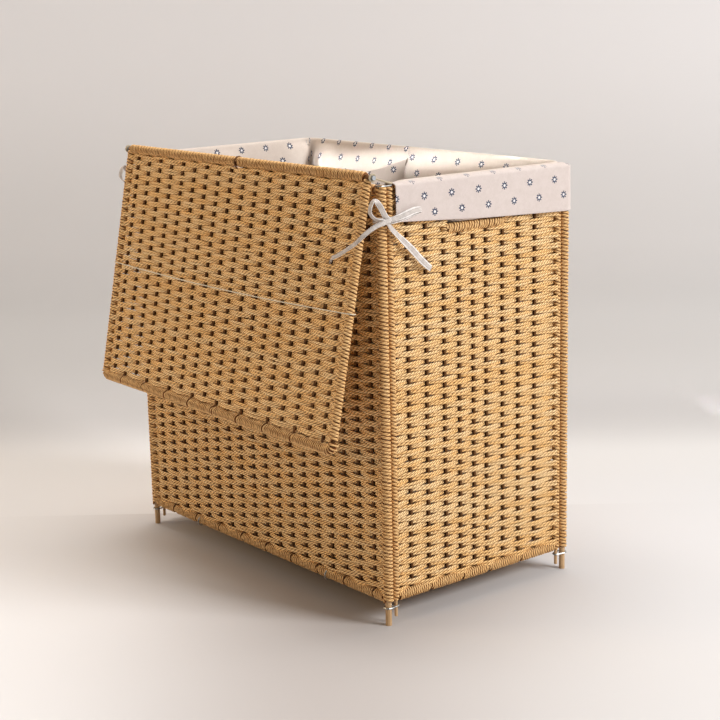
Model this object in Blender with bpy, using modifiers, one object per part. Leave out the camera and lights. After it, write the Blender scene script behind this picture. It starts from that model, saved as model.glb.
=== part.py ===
# Lidded storage basket of welded wire frames woven over with paper rope,
# with a two-compartment cotton liner. Metres, +Z up, stands on z = 0.
import math

import bmesh
import bpy
from mathutils import Vector

mm = 0.001

# Overall sizes
post_span_x = 590 * mm        # axis to axis of the corner posts, long side
post_span_y = 334 * mm        # axis to axis of the corner posts, short side
rim_height = 600 * mm         # floor to the top of the bound rims
leg_exposed = 31 * mm         # bare leg below the lowest rope
side_leg_lift = 10 * mm       # the thin side legs end this far above the floor

# Wire and rope
rod_radius = 4.3 * mm         # thick rods of the front and back hoops
wire_radius = 2.3 * mm        # side hoops, bottom rails and base frame
stake_radius = 2.0 * mm       # upright stakes that the rope is woven on
rope_cover = 3.0 * mm         # thickness of rope wound over a bar
weave_thickness = 9.0 * mm    # woven field, both faces
gap = 0.3 * mm                # clearance between pieces that touch
overrun = 2.0 * mm            # how far cutters pass the faces that they cut

# Stakes
stake_pitch = 31.3 * mm       # front, back and lid
base_stake_pitch = 94 * mm
base_corner_radius = 20 * mm
side_stake_shares = (         # of half the short side, from its middle
    -0.806, -0.598, -0.39, -0.215, -0.046, 0.11, 0.312, 0.507, 0.715)
handle_shares = (-0.39, 0.312)          # the stakes that bound the hand hole
handle_drop = 68 * mm         # bar under the hand hole, below the rim

# Lid
lid_inset = 6.3 * mm          # lid's side bars inside the corner posts' axes
lid_length = 352 * mm         # hinge bar to free bar
lid_wire_radius = 3.0 * mm
lid_corner_radius = 10 * mm   # bend of the lid frame at the free end
hinge_forward = 16.3 * mm     # hinge bar in front of the front posts
hinge_lift = 10.8 * mm        # hinge bar above the rim
lid_tilt = math.radians(11.05)          # hanging lid, from the vertical
hinge_stub = 7.2 * mm         # hinge bar beyond the lid's bound side

# Wire rings, links and tied string
ring_wire_radius = 1.1 * mm
link_wire_radius = 1.4 * mm
clip_lift = 5.5 * mm          # bottom clips below the lowest rope
base_clip_share = 0.55        # of half the long side, both ways
string_radius = 0.8 * mm
string_sag = 5.0 * mm

# Liner
cloth = 1.2 * mm
bag_corner_radius = 12 * mm
bag_top_drop = 4 * mm         # bag edge below the rim
cuff_drop = 58 * mm           # cuff skirt below the rim
hem_drop = 16 * mm            # cuff inside the basket, below the rim
cuff_set_back = 26 * mm       # cuff starts this far behind the front posts' axis
cuff_slack = 0.5 * mm
divider_place = -38 * mm      # along the long side, from the middle
divider_drop = 12 * mm        # divider edge below the rim at its ends
divider_sag = 22 * mm

# Bows at the front corners
tape_width = 7.7 * mm
tape_thickness = 1.0 * mm
bow_drop = 45 * mm            # knot below the rim
knot_size = (9 * mm, 10 * mm, 9 * mm)
knot_bevel = 2.5 * mm

# Places along the tapes in tape widths from the knot: along the short side, and up
upper_loop_shares = (
    (0.3, 0.1), (-0.5, 1.6), (-1.6, 3.0), (-2.4, 3.2), (-2.5, 2.4), (-1.6, 0.6), (-0.3, -0.3))
side_loop_shares = (
    (-0.3, 0.3), (2.5, 1.7), (6.0, 1.9), (8.0, 1.3), (8.1, 0.8), (6.0, 0.1), (2.5, -0.3), (0.3, -0.3))
side_tail_shares = ((0, 0), (2.2, -2.2), (5.5, -4.6), (8.4, -6.8), (10, -9))
# The right tail on the lid, in tape widths: in from the lid's edge, and down from the bow
lid_tail_shares = ((0, 1.2), (1.8, 2.4), (3.8, 4.4), (6.0, 7.0))
# The left tail beside its post, from under the knot: along the short side, and up
post_tail_shares = ((-0.75, 0), (-0.8, -2.6), (-0.6, -5.2), (-0.2, -7.8))

# Facets
rod_sides = 10
stake_sides = 6
arc_steps = 8
belt_steps = 5

# Worked out from the sizes above
half_x = post_span_x / 2
half_y = post_span_y / 2
rod_cover = rod_radius + rope_cover
wire_cover = wire_radius + rope_cover
lid_cover = lid_wire_radius + rope_cover
hoop_bar_height = rim_height - rod_cover
rail_height = leg_exposed + wire_cover
side_half = half_y - rod_cover - wire_cover - 2 * gap
hinge_y = -half_y - hinge_forward
hinge_height = rim_height + hinge_lift
lid_half_span = half_x - lid_inset
handle_low = rim_height - handle_drop
bow_height = rim_height - bow_drop
cuff_start = half_y - cuff_set_back
clip_reach = ring_wire_radius + gap
bag_inset = rod_cover + 2 * clip_reach + gap

# The lid's foot and the cuff's back are the furthest reaches to the front and the back
front_reach = hinge_y - lid_length * math.sin(lid_tilt) - lid_cover
back_reach = half_y + rod_cover + cuff_slack + cloth
centring = -(front_reach + back_reach) / 2

for old in list(bpy.data.objects):
    bpy.data.objects.remove(old)

scene = bpy.context.scene
parts = bpy.data.collections.new("lidded_basket")
cutters = bpy.data.collections.new("cutters")
scene.collection.children.link(parts)
scene.collection.children.link(cutters)


def finish(name, colour, roughness, metallic=0.0):
    material = bpy.data.materials.new(name)
    material.use_nodes = True
    shader = material.node_tree.nodes["Principled BSDF"]
    shader.inputs["Base Color"].default_value = (*colour, 1.0)
    shader.inputs["Roughness"].default_value = roughness
    shader.inputs["Metallic"].default_value = metallic
    return material


painted_wire = finish("painted_wire", (0.62, 0.44, 0.26), 0.45)
galvanised = finish("galvanised", (0.62, 0.62, 0.60), 0.35, 1.0)
paper_rope = finish("paper_rope", (0.60, 0.36, 0.14), 0.75)
cotton = finish("cotton", (0.80, 0.74, 0.70), 0.9)
tape = finish("tape", (0.66, 0.60, 0.58), 0.85)
twine = finish("twine", (0.72, 0.60, 0.42), 0.8)


def move_to(piece, collection):
    for home in list(piece.users_collection):
        home.objects.unlink(piece)
    collection.objects.link(piece)


def settle(piece):
    # The evaluated shape becomes a plain mesh, with loose curve caps welded
    bpy.context.view_layer.update()
    graph = bpy.context.evaluated_depsgraph_get()
    mesh = bpy.data.meshes.new_from_object(piece.evaluated_get(graph))
    work = bmesh.new()
    work.from_mesh(mesh)
    bmesh.ops.remove_doubles(work, verts=work.verts, dist=0.00001)
    work.to_mesh(mesh)
    work.free()
    solid = bpy.data.objects.new(piece.name, mesh)
    solid.matrix_world = piece.matrix_world.copy()
    solid.parent = piece.parent
    scene.collection.objects.link(solid)
    bpy.data.objects.remove(piece)
    return solid


def combine(base, others, operation):
    # One Boolean of the base with all the others, applied at once
    for other in others:
        move_to(other, cutters)
        other.hide_render = True
        other.display_type = "WIRE"
    step = base.modifiers.new("combine", "BOOLEAN")
    step.operation = operation
    step.operand_type = "COLLECTION"
    step.collection = cutters
    step.solver = "EXACT"
    local = base.matrix_basis.copy()
    parent = base.parent
    solid = settle(base)
    solid.parent = parent
    solid.matrix_basis = local
    for other in others:
        bpy.data.objects.remove(other)
    return solid


def fuse(pieces):
    return combine(pieces[0], pieces[1:], "UNION")


def cut(piece, tools):
    return combine(piece, tools, "DIFFERENCE")


def rod(start, end, radius, sides):
    start = Vector(start)
    end = Vector(end)
    run = end - start
    bpy.ops.mesh.primitive_cylinder_add(
        vertices=sides, radius=radius, depth=run.length, location=(start + end) / 2)
    piece = bpy.context.object
    piece.rotation_mode = "QUATERNION"
    piece.rotation_quaternion = run.to_track_quat("Z", "Y")
    return piece


def block(low, high):
    low = Vector(low)
    high = Vector(high)
    bpy.ops.mesh.primitive_cube_add(size=1, location=(low + high) / 2)
    piece = bpy.context.object
    piece.scale = high - low
    bpy.ops.object.transform_apply(location=False, rotation=False, scale=True)
    return piece


def tube(points, radius, bevel_resolution, closed=False):
    # A wire along a list of points
    data = bpy.data.curves.new("wire", "CURVE")
    data.dimensions = "3D"
    data.bevel_depth = radius
    data.bevel_resolution = bevel_resolution
    data.use_fill_caps = not closed
    spline = data.splines.new("POLY")
    spline.points.add(len(points) - 1)
    for point, place in zip(spline.points, points):
        point.co = (*place, 1.0)
    spline.use_cyclic_u = closed
    piece = bpy.data.objects.new("wire", data)
    scene.collection.objects.link(piece)
    return settle(piece)


def ribbon(points, width, thickness):
    # A flat tape along a list of points, its width upright
    data = bpy.data.curves.new("tape", "CURVE")
    data.dimensions = "3D"
    data.twist_mode = "Z_UP"
    data.extrude = width / 2 - thickness / 2
    data.bevel_depth = thickness / 2
    data.bevel_resolution = 0
    data.use_fill_caps = True
    spline = data.splines.new("POLY")
    spline.points.add(len(points) - 1)
    for point, place in zip(spline.points, points):
        point.co = (*place, 1.0)
    piece = bpy.data.objects.new("tape", data)
    scene.collection.objects.link(piece)
    return settle(piece)


def tape_loop(points, width, thickness):
    # A closed flat loop of tape, its path in X and Y and its width along Z
    data = bpy.data.curves.new("loop", "CURVE")
    data.dimensions = "2D"
    data.fill_mode = "NONE"
    data.extrude = width / 2 - thickness / 2
    data.bevel_depth = thickness / 2
    data.bevel_resolution = 0
    spline = data.splines.new("POLY")
    spline.points.add(len(points) - 1)
    for point, place in zip(spline.points, points):
        point.co = (*place, 0.0, 1.0)
    spline.use_cyclic_u = True
    piece = bpy.data.objects.new("loop", data)
    scene.collection.objects.link(piece)
    return settle(piece)


def plate(outline, low, high):
    # A flat outline in X and Y, raised from low to high
    data = bpy.data.curves.new("outline", "CURVE")
    data.dimensions = "2D"
    data.fill_mode = "BOTH"
    data.extrude = (high - low) / 2
    spline = data.splines.new("POLY")
    spline.points.add(len(outline) - 1)
    for point, place in zip(spline.points, outline):
        point.co = (*place, 0.0, 1.0)
    spline.use_cyclic_u = True
    piece = bpy.data.objects.new("outline", data)
    piece.location.z = (high + low) / 2
    scene.collection.objects.link(piece)
    return settle(piece)


def arc(centre, radius, start, end, steps):
    # Points on a circle in a plane, angles in radians
    return [
        (centre[0] + radius * math.cos(start + (end - start) * step / steps),
         centre[1] + radius * math.sin(start + (end - start) * step / steps))
        for step in range(steps + 1)]


def rounded_rectangle(half_width, half_depth, radius, steps):
    points = []
    for turn, (side_x, side_y) in enumerate(((1, 1), (-1, 1), (-1, -1), (1, -1))):
        corner = (side_x * (half_width - radius), side_y * (half_depth - radius))
        start = turn * math.pi / 2
        points += arc(corner, radius, start, start + math.pi / 2, steps)
    return points


def belt(centre_a, radius_a, centre_b, radius_b):
    # Closed path round two circles in a plane, as a wire ring lies round two bars,
    # with its straight chords kept outside the circles
    run_u = centre_b[0] - centre_a[0]
    run_v = centre_b[1] - centre_a[1]
    heading = math.atan2(run_v, run_u)
    lean = math.asin((radius_a - radius_b) / math.hypot(run_u, run_v))
    wide = math.pi / 2 - lean
    far_clear = 1 / math.cos(wide / belt_steps)
    near_clear = 1 / math.cos((math.pi - wide) / belt_steps)
    far = arc(centre_b, radius_b * far_clear, heading - wide, heading + wide, belt_steps)
    near = arc(centre_a, radius_a * near_clear,
               heading + wide, heading + 2 * math.pi - wide, belt_steps)
    return far + near


def keep(piece, name, material, holder):
    # Names a finished piece, gives it its material and hangs it on its holder
    piece.name = name
    piece.data.name = name
    piece.data.materials.clear()
    piece.data.materials.append(material)
    piece.data.shade_smooth()
    piece.data.set_sharp_from_angle(angle=math.radians(35))
    move_to(piece, parts)
    piece.parent = holder
    return piece


def holder(name, place, turn=(0, 0, 0), parent=None):
    empty = bpy.data.objects.new(name, None)
    empty.location = place
    empty.rotation_euler = turn
    empty.parent = parent
    parts.objects.link(empty)
    return empty


basket = holder("basket", (0, centring, 0))
front_side = holder("front_side", (0, -half_y, 0), parent=basket)
back_side = holder("back_side", (0, half_y, 0), (0, 0, math.pi), basket)
right_side = holder("right_side", (half_x, 0, 0), (0, 0, math.pi / 2), basket)
left_side = holder("left_side", (-half_x, 0, 0), (0, 0, -math.pi / 2), basket)
lid_pivot = holder("lid_pivot", (0, hinge_y, hinge_height), (-lid_tilt, 0, 0), basket)


def even_places(half_width, pitch):
    # Places at a fixed pitch with none on the middle line
    count = 2 * int(half_width / pitch)
    return [(index - (count - 1) / 2) * pitch for index in range(count)]


def binding(half_length, height, bar_radius, cover_radius, slot_up, middle=0):
    # Rope bound round a bar: a sleeve open along the side where the stakes come in
    slot = stake_radius + gap
    inner = bar_radius + gap
    start_out = math.asin(slot / cover_radius)
    start_in = math.asin(slot / inner)
    outline = arc((0, 0), cover_radius, start_out, 2 * math.pi - start_out, 2 * arc_steps)
    outline += arc((0, 0), inner, 2 * math.pi - start_in, start_in, arc_steps)
    sleeve = plate(outline, -half_length, half_length)
    sleeve.rotation_euler = (0, -math.pi / 2 if slot_up else math.pi / 2, 0)
    sleeve.location = (middle, 0, height)
    return sleeve


def wall(name, side, half, post_radius, post_low, post_tops, stakes, handle):
    # One woven panel in its own frame: X across, Y through it, Z up
    cover = post_radius + rope_cover
    bar_height = rim_height - cover
    bar_low = bar_height - post_radius
    posts = [
        rod((-half, 0, post_low), (-half, 0, post_tops[0]), post_radius, rod_sides),
        rod((half, 0, post_low), (half, 0, post_tops[1]), post_radius, rod_sides)]
    bar = rod((-half, 0, bar_height), (half, 0, bar_height), post_radius, rod_sides)
    keep(fuse([posts[0], posts[1], bar]), name + "_hoop", painted_wire, side)

    # Welded grid: bottom rail and stakes, with the bar under the hand hole
    rail_end = half - post_radius - gap
    stake_top = bar_low - gap
    grid = [rod((-rail_end, 0, rail_height), (rail_end, 0, rail_height), wire_radius, rod_sides)]
    bores = []
    for place in stakes:
        short = handle and handle[0] + stake_radius < place < handle[1] - stake_radius
        top = handle_low if short else stake_top
        grid.append(rod((place, 0, rail_height), (place, 0, top), stake_radius, stake_sides))
        bore_top = top if short else rim_height
        bores.append(rod(
            (place, 0, rail_height), (place, 0, bore_top), stake_radius + gap, stake_sides))
    if handle:
        grid.append(rod(
            (handle[0], 0, handle_low), (handle[1], 0, handle_low), wire_radius, rod_sides))
    keep(fuse(grid), name + "_grid", painted_wire, side)

    # Woven field with a bead of rope turned round each post
    field_low = rail_height + wire_cover + gap
    field_high = bar_height - cover - gap
    bead_top = bar_low - gap
    field = block(
        (-half, -weave_thickness / 2, field_low), (half, weave_thickness / 2, field_high))
    beads = [
        rod((place, 0, leg_exposed), (place, 0, bead_top), cover, 2 * arc_steps)
        for place in (-half, half)]
    weave = fuse([field, beads[0], beads[1]])
    for place in (-half, half):
        bores.append(rod(
            (place, 0, leg_exposed - overrun), (place, 0, rim_height),
            post_radius + gap, rod_sides))
    bores.append(rod(
        (-half, 0, rail_height), (half, 0, rail_height), wire_radius + gap, rod_sides))
    if handle:
        middle = (handle[0] + handle[1]) / 2
        inner = (handle[1] - handle[0]) / 2 - stake_radius - gap - overrun
        bores.append(block(
            (middle - inner, -weave_thickness, handle_low - wire_cover - gap),
            (middle + inner, weave_thickness, rim_height)))
        bores.append(rod(
            (handle[0] - overrun, 0, handle_low), (handle[1] + overrun, 0, handle_low),
            wire_radius + gap, rod_sides))
        lip = binding(inner - gap, handle_low, wire_radius, wire_cover, False, middle)
        keep(lip, name + "_hand_hole_binding", paper_rope, side)
    weave = cut(weave, bores)
    keep(weave, name + "_weave", paper_rope, side)

    # Bound rims, held clear of the corner clips at the posts
    reach = half - post_radius - gap - 2 * clip_reach
    top_half = reach if post_radius == rod_radius else reach - gap
    keep(binding(top_half, bar_height, post_radius, cover, False),
         name + "_top_binding", paper_rope, side)
    keep(binding(half - cover - gap, rail_height, wire_radius, wire_cover, True),
         name + "_bottom_binding", paper_rope, side)


clip_height = hoop_bar_height + rod_radius + clip_reach + gap
link_height = clip_height + ring_wire_radius + link_wire_radius + gap
plain_post_top = clip_height + ring_wire_radius + gap
tall_post_top = link_height + link_wire_radius + gap
long_stakes = even_places(half_x - rod_cover, stake_pitch)
side_stakes = [share * side_half for share in side_stake_shares]
handle_ends = [share * side_half for share in handle_shares]

wall("front", front_side, half_x, rod_radius, 0,
     (plain_post_top, plain_post_top), long_stakes, None)
wall("back", back_side, half_x, rod_radius, 0,
     (plain_post_top, plain_post_top), long_stakes, None)
wall("right", right_side, side_half, wire_radius, side_leg_lift,
     (tall_post_top, plain_post_top), side_stakes, handle_ends)
wall("left", left_side, side_half, wire_radius, side_leg_lift,
     (plain_post_top, tall_post_top), side_stakes, handle_ends)


def lid():
    # In the lid's own frame: hinge bar on the origin, lid hanging down along -Z
    cover = lid_cover
    foot = -lid_length
    bend = lid_corner_radius
    stub_end = lid_half_span + cover + hinge_stub
    hinge_bar = rod((-stub_end, 0, 0), (stub_end, 0, 0), lid_wire_radius, rod_sides)
    right_bend = arc((lid_half_span - bend, foot + bend), bend, 0, -math.pi / 2, 4)
    left_bend = [(-across, down) for across, down in reversed(right_bend)]
    path = [(lid_half_span, 0)] + right_bend + left_bend + [(-lid_half_span, 0)]
    loop = tube([(across, 0, down) for across, down in path], lid_wire_radius, 1)
    stakes = even_places(lid_half_span - cover, stake_pitch)
    wires = [
        rod((place, 0, 0), (place, 0, foot), stake_radius, stake_sides) for place in stakes]
    keep(fuse([hinge_bar, loop] + wires), "lid_frame", painted_wire, lid_pivot)

    field = block(
        (bend - lid_half_span, -weave_thickness / 2, foot + cover + gap),
        (lid_half_span - bend, weave_thickness / 2, -cover - gap))
    sides = block(
        (-lid_half_span, -weave_thickness / 2, foot + bend),
        (lid_half_span, weave_thickness / 2, -cover - gap))
    bead_top = -lid_wire_radius - gap
    beads = [
        rod((place, 0, foot + bend), (place, 0, bead_top), cover, 2 * arc_steps)
        for place in (-lid_half_span, lid_half_span)]
    bores = [
        rod((place, 0, overrun), (place, 0, foot), stake_radius + gap, stake_sides)
        for place in stakes]
    bores.append(tube([(across, 0, down) for across, down in path], lid_wire_radius + gap, 1))
    # Slot in the weave that the middle ring turns in
    slot_half = ring_wire_radius + 2 * gap
    slot_radius = cover + weave_thickness + 2 * clip_reach
    bores.append(rod((-slot_half, 0, 0), (slot_half, 0, 0), slot_radius, 2 * arc_steps))
    weave = cut(fuse([field, sides, beads[0], beads[1]]), bores)
    keep(weave, "lid_weave", paper_rope, lid_pivot)

    hinge_binding = binding(lid_half_span - cover - gap, 0, lid_wire_radius, cover, False)
    keep(hinge_binding, "lid_hinge_binding", paper_rope, lid_pivot)
    free_binding = binding(lid_half_span - bend - gap, foot, lid_wire_radius, cover, True)
    keep(free_binding, "lid_free_binding", paper_rope, lid_pivot)

    # String tied once round the middle of the lid
    off = cover + gap + string_radius
    height = foot / 2
    across = [share * lid_half_span for share in (-1, -0.5, 0, 0.5, 1)]
    front_run = [(x, -off, height - string_sag * (1 - (x / lid_half_span) ** 2)) for x in across]
    right_turn = [
        (lid_half_span + u, v, height) for u, v in arc((0, 0), off, -math.pi / 2, math.pi / 2, 6)]
    back_run = [(-x, off, height) for x in across]
    left_turn = [
        (u - lid_half_span, v, height)
        for u, v in arc((0, 0), off, math.pi / 2, 3 * math.pi / 2, 6)]
    loop_points = front_run + right_turn[1:] + back_run[1:] + left_turn[1:-1]
    keep(tube(loop_points, string_radius, 0, True), "lid_string", twine, lid_pivot)


lid()


def ring(points, name):
    return keep(tube(points, ring_wire_radius, 1, True), name, galvanised, basket)


def grown_ring(points):
    tool = tube(points, ring_wire_radius + gap, 1, True)
    tool.parent = basket
    return tool


def corner_clips():
    # Oval rings that join each thick post to the thin post beside it
    for end, side_y in (("front", -1), ("back", 1)):
        for hand, side_x in (("left", -1), ("right", 1)):
            thick = (side_x * half_x, side_y * half_y)
            thin = (side_x * half_x, side_y * side_half)
            path = belt(thick, rod_radius + clip_reach, thin, wire_radius + clip_reach)
            for level, height in (("top", clip_height), ("bottom", leg_exposed - clip_lift)):
                ring([(x, y, height) for x, y in path], "_".join((end, hand, level, "clip")))


corner_clips()


def hinge_links():
    # An eye round the end of the hinge bar, a shank, and an eye round the side post
    eye_a = lid_wire_radius + gap + link_wire_radius
    eye_b = wire_radius + gap + link_wire_radius
    plane = lid_half_span + lid_cover + hinge_stub / 2
    for hand, side_x in (("left", -1), ("right", 1)):
        x_a = side_x * plane
        around_bar = [
            (x_a, hinge_y + u, hinge_height + v)
            for u, v in arc((0, 0), eye_a, 0, 2 * math.pi, 12)[:-1]]
        around_post = [
            (side_x * half_x + u, v - side_half, link_height)
            for u, v in arc((0, 0), eye_b, 0, 2 * math.pi, 12)[:-1]]
        heading = math.atan2(link_height - hinge_height, -side_half - hinge_y)
        shank_start = (
            x_a, hinge_y + eye_a * math.cos(heading), hinge_height + eye_a * math.sin(heading))
        shank_end = (side_x * (half_x + eye_b), -side_half, link_height)
        eyes = [
            tube(around_bar, link_wire_radius, 1, True),
            tube(around_post, link_wire_radius, 1, True)]
        shank = tube([shank_start, shank_end], link_wire_radius, 1)
        keep(fuse([eyes[0], eyes[1], shank]), "hinge_link_" + hand, painted_wire, basket)


hinge_links()


def base():
    # Woven floor panel inside the bottom rails
    bead = wire_cover
    side_x = half_x - rod_cover - gap - bead
    side_y = half_y - wire_cover - gap - bead
    bend = base_corner_radius
    path = rounded_rectangle(side_x, side_y, bend, 4)
    stakes = even_places(side_x - bend, base_stake_pitch)

    def frame(extra):
        loop = tube([(x, y, rail_height) for x, y in path], wire_radius + extra, 1, True)
        wires = [
            rod((place, -side_y, rail_height), (place, side_y, rail_height),
                stake_radius + extra, stake_sides)
            for place in stakes]
        return fuse([loop] + wires)

    keep(frame(0), "base_frame", painted_wire, basket)
    outline = rounded_rectangle(side_x + bead - gap, side_y + bead - gap, bend + bead, 4)
    slab = plate(outline, rail_height - weave_thickness / 2, rail_height + weave_thickness / 2)
    slab.parent = basket
    tools = [frame(gap)]
    tools[0].parent = basket

    # Rings that hang the base on the front and back bottom rails
    clip_paths = []
    for end, face in (("front", -1), ("back", 1)):
        for hand, side in (("left", -1), ("right", 1)):
            place = side * base_clip_share * half_x
            path_2d = belt(
                (face * half_y, rail_height), wire_cover + clip_reach,
                (face * side_y, rail_height), wire_radius + clip_reach)
            points = [(place, y, z) for y, z in path_2d]
            ring(points, "_".join(("base", end, hand, "clip")))
            clip_paths.append((end, points))
            tools.append(grown_ring(points))
    keep(cut(slab, tools), "base_weave", paper_rope, basket)
    for end in ("front", "back"):
        name = end + "_weave"
        weave = parts.objects[name]
        side = weave.parent
        clips = [grown_ring(points) for owner, points in clip_paths if owner == end]
        keep(cut(weave, clips), name, paper_rope, side)


base()


def middle_ring():
    # Ring round the lid's hinge bar and the front top bar, at the middle
    path = belt(
        (-half_y, hoop_bar_height), rod_cover + clip_reach,
        (hinge_y, hinge_height), lid_cover + clip_reach)
    points = [(0, y, z) for y, z in path]
    ring(points, "middle_hinge_ring")
    weave = parts.objects["front_weave"]
    keep(cut(weave, [grown_ring(points)]), "front_weave", paper_rope, front_side)


middle_ring()


def liner():
    # Cotton bag, open at the top
    bag_x = half_x - bag_inset
    bag_y = half_y - bag_inset
    floor = rail_height + wire_cover + 2 * clip_reach + 2 * gap
    top = rim_height - bag_top_drop
    outline = rounded_rectangle(bag_x, bag_y, bag_corner_radius, 3)
    bag = plate(outline, floor, top)
    work = bmesh.new()
    work.from_mesh(bag.data)
    lid_faces = [face for face in work.faces if face.normal.z > 0.5]
    bmesh.ops.delete(work, geom=lid_faces, context="FACES")
    work.to_mesh(bag.data)
    work.free()
    shell = bag.modifiers.new("cloth", "SOLIDIFY")
    shell.thickness = cloth
    shell.offset = -1
    shell.use_even_offset = True
    bag = settle(bag)
    keep(bag, "liner_bag", cotton, basket)

    # Divider between the two compartments, its top edge sagging
    half_run = bag_y - cloth - gap
    high = rim_height - divider_drop
    low = floor + cloth + gap
    edge = [
        (share * half_run, high - divider_sag * (1 - share * share))
        for share in (1, 0.75, 0.5, 0.25, 0, -0.25, -0.5, -0.75, -1)]
    panel = plate([(-half_run, low), (half_run, low)] + edge, -cloth / 2, cloth / 2)
    panel.rotation_euler = (math.pi / 2, 0, math.pi / 2)
    panel.location = (divider_place, 0, 0)
    keep(panel, "liner_divider", cotton, basket)

    # Cuff turned down outside, over the side and back rims
    clear = rod_cover + cuff_slack
    seam = bag_inset - gap

    def plan(outside, inside, end):
        # U-shaped outline seen from above, open towards the front
        out_x = half_x + outside
        out_y = half_y + outside
        in_x = half_x - inside
        in_y = half_y - inside
        outer = [(out_x, -end)] + arc((half_x, half_y), outside, 0, math.pi / 2, 4)
        outer += arc((-half_x, half_y), outside, math.pi / 2, math.pi, 4) + [(-out_x, -end)]
        inner = [(-in_x, -end), (-in_x, in_y), (in_x, in_y), (in_x, -end)]
        return outer + inner

    top = plain_post_top + gap
    body = plate(plan(clear + cloth, seam, cuff_start), rim_height - cuff_drop, top + cloth)
    hollow = plate(
        plan(clear, seam - cloth, cuff_start + overrun), rim_height - hem_drop - overrun, top)
    below = plate(
        plan(clear, seam + overrun, cuff_start + overrun),
        rim_height - cuff_drop - overrun, rim_height - hem_drop)
    keep(cut(body, [hollow, below]), "liner_cuff", cotton, basket)


liner()


def bow(hand, side):
    # Tape knotted outside the corner posts: band, knot, two loops and two tails
    w = tape_width
    wrap = rod_cover + gap + tape_thickness / 2
    knot_x = half_x + wrap + knot_size[0] / 2
    knot_y = -half_y
    cuff_face = half_x + rod_cover + cuff_slack + cloth + gap

    def tape_run(points):
        return ribbon([(side * x, y, z) for x, y, z in points], w, tape_thickness)

    band = [(half_x - w, -half_y - wrap)]
    band += arc((half_x, -half_y), wrap, -math.pi / 2, 0, 4)
    band += [(half_x + wrap, -side_half)]
    pieces = [tape_run([(x, y, bow_height) for x, y in band])]
    for shares in (upper_loop_shares, side_loop_shares):
        loop = tape_loop(
            [(knot_y + along * w, bow_height + up * w) for along, up in shares],
            w, tape_thickness)
        loop.rotation_euler = (math.pi / 2, 0, math.pi / 2)
        loop.location = (side * (cuff_face + w / 2), 0, 0)
        pieces.append(loop)
    hang = cuff_face + tape_thickness
    pieces.append(tape_run(
        [(knot_x if along == 0 else hang, knot_y + along * w, bow_height + up * w)
         for along, up in side_tail_shares]))
    bpy.ops.mesh.primitive_cube_add(size=1, location=(side * knot_x, knot_y, bow_height))
    knot = bpy.context.object
    knot.scale = knot_size
    bpy.ops.object.transform_apply(location=False, rotation=False, scale=True)
    rounding = knot.modifiers.new("rounding", "BEVEL")
    rounding.width = knot_bevel
    rounding.segments = 2
    keep(fuse([settle(knot)] + pieces), "bow_" + hand, tape, basket)

    # The left bow's other tail hangs beside the post
    if side < 0:
        low = bow_height - knot_size[2] / 2 - gap
        tail = [(hang, knot_y + along * w, low + up * w) for along, up in post_tail_shares]
        keep(tape_run(tail), "bow_tail_" + hand, tape, basket)
        return

    # The right bow's other tail lies over the face of the hanging lid
    off = lid_cover + gap + tape_thickness + w * math.sin(lid_tilt)
    bow_down = (hinge_height - bow_height) / math.cos(lid_tilt)
    lid_edge = lid_half_span + lid_cover
    start = knot_y - knot_size[1] / 2 - gap
    tail = [(knot_x, start, bow_height - w / 2), (knot_x, start - w, bow_height - 1.1 * w)]
    for inward, lower in lid_tail_shares:
        down = bow_down + lower * w
        tail.append((
            lid_edge - inward * w,
            hinge_y - down * math.sin(lid_tilt) - off * math.cos(lid_tilt),
            hinge_height - down * math.cos(lid_tilt) + off * math.sin(lid_tilt)))
    keep(tape_run(tail), "bow_tail_" + hand, tape, basket)


bow("right", 1)
bow("left", -1)
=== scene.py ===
# Lidded woven hamper with a cotton liner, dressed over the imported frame
import math

import bmesh
import bpy
import numpy as np
from mathutils import Matrix, Vector


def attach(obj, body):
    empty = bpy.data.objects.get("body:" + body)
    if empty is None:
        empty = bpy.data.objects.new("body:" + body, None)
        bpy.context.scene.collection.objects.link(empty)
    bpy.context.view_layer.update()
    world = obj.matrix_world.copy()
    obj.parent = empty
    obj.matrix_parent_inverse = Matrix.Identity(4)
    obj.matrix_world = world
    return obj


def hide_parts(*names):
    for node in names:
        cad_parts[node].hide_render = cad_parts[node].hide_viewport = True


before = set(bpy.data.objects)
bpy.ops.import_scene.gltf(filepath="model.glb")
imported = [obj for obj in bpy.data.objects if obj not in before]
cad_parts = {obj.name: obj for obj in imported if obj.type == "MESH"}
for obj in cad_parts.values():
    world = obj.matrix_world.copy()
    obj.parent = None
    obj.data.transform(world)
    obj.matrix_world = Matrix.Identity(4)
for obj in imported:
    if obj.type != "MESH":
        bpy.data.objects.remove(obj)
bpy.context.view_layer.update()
bpy.ops.object.select_all(action="DESELECT")
mm = 0.001
rng = np.random.default_rng(7)

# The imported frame's middle lies this far behind the middle of the basket's posts
middleY = 40.383 * mm
basket = {
    "halfX": 295 * mm, "halfY": 167 * mm, "sideHalf": 153.8 * mm, "stakeStep": 31.3 * mm,
    "rodRadius": 4.3 * mm, "wireRadius": 2.3 * mm, "cover": 3.0 * mm, "slack": 0.05 * mm,
    "rimTop": 600 * mm, "railHeight": 36.3 * mm,
    "hingeY": -183.3 * mm, "hingeZ": 610.8 * mm, "tilt": math.radians(11.05),
    "lidHalf": 288.7 * mm, "lidLength": 352 * mm, "lidRadius": 3.0 * mm, "lidBend": 10 * mm,
}
half = basket["halfX"]
longStakes = [(i - 8.5) * basket["stakeStep"] for i in range(18)]
sideStakes = [s * basket["sideHalf"] for s in
              (-0.806, -0.598, -0.39, -0.215, -0.046, 0.11, 0.312, 0.507, 0.715)]


def addObject(name, data):
    added = bpy.data.objects.new(name, data)
    bpy.context.scene.collection.objects.link(added)
    return added


def pathPlaces(path):
    # How far along a path each of its points lies
    return np.concatenate(((0,), np.cumsum(np.linalg.norm(np.diff(path, axis=0), axis=1))))


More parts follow.
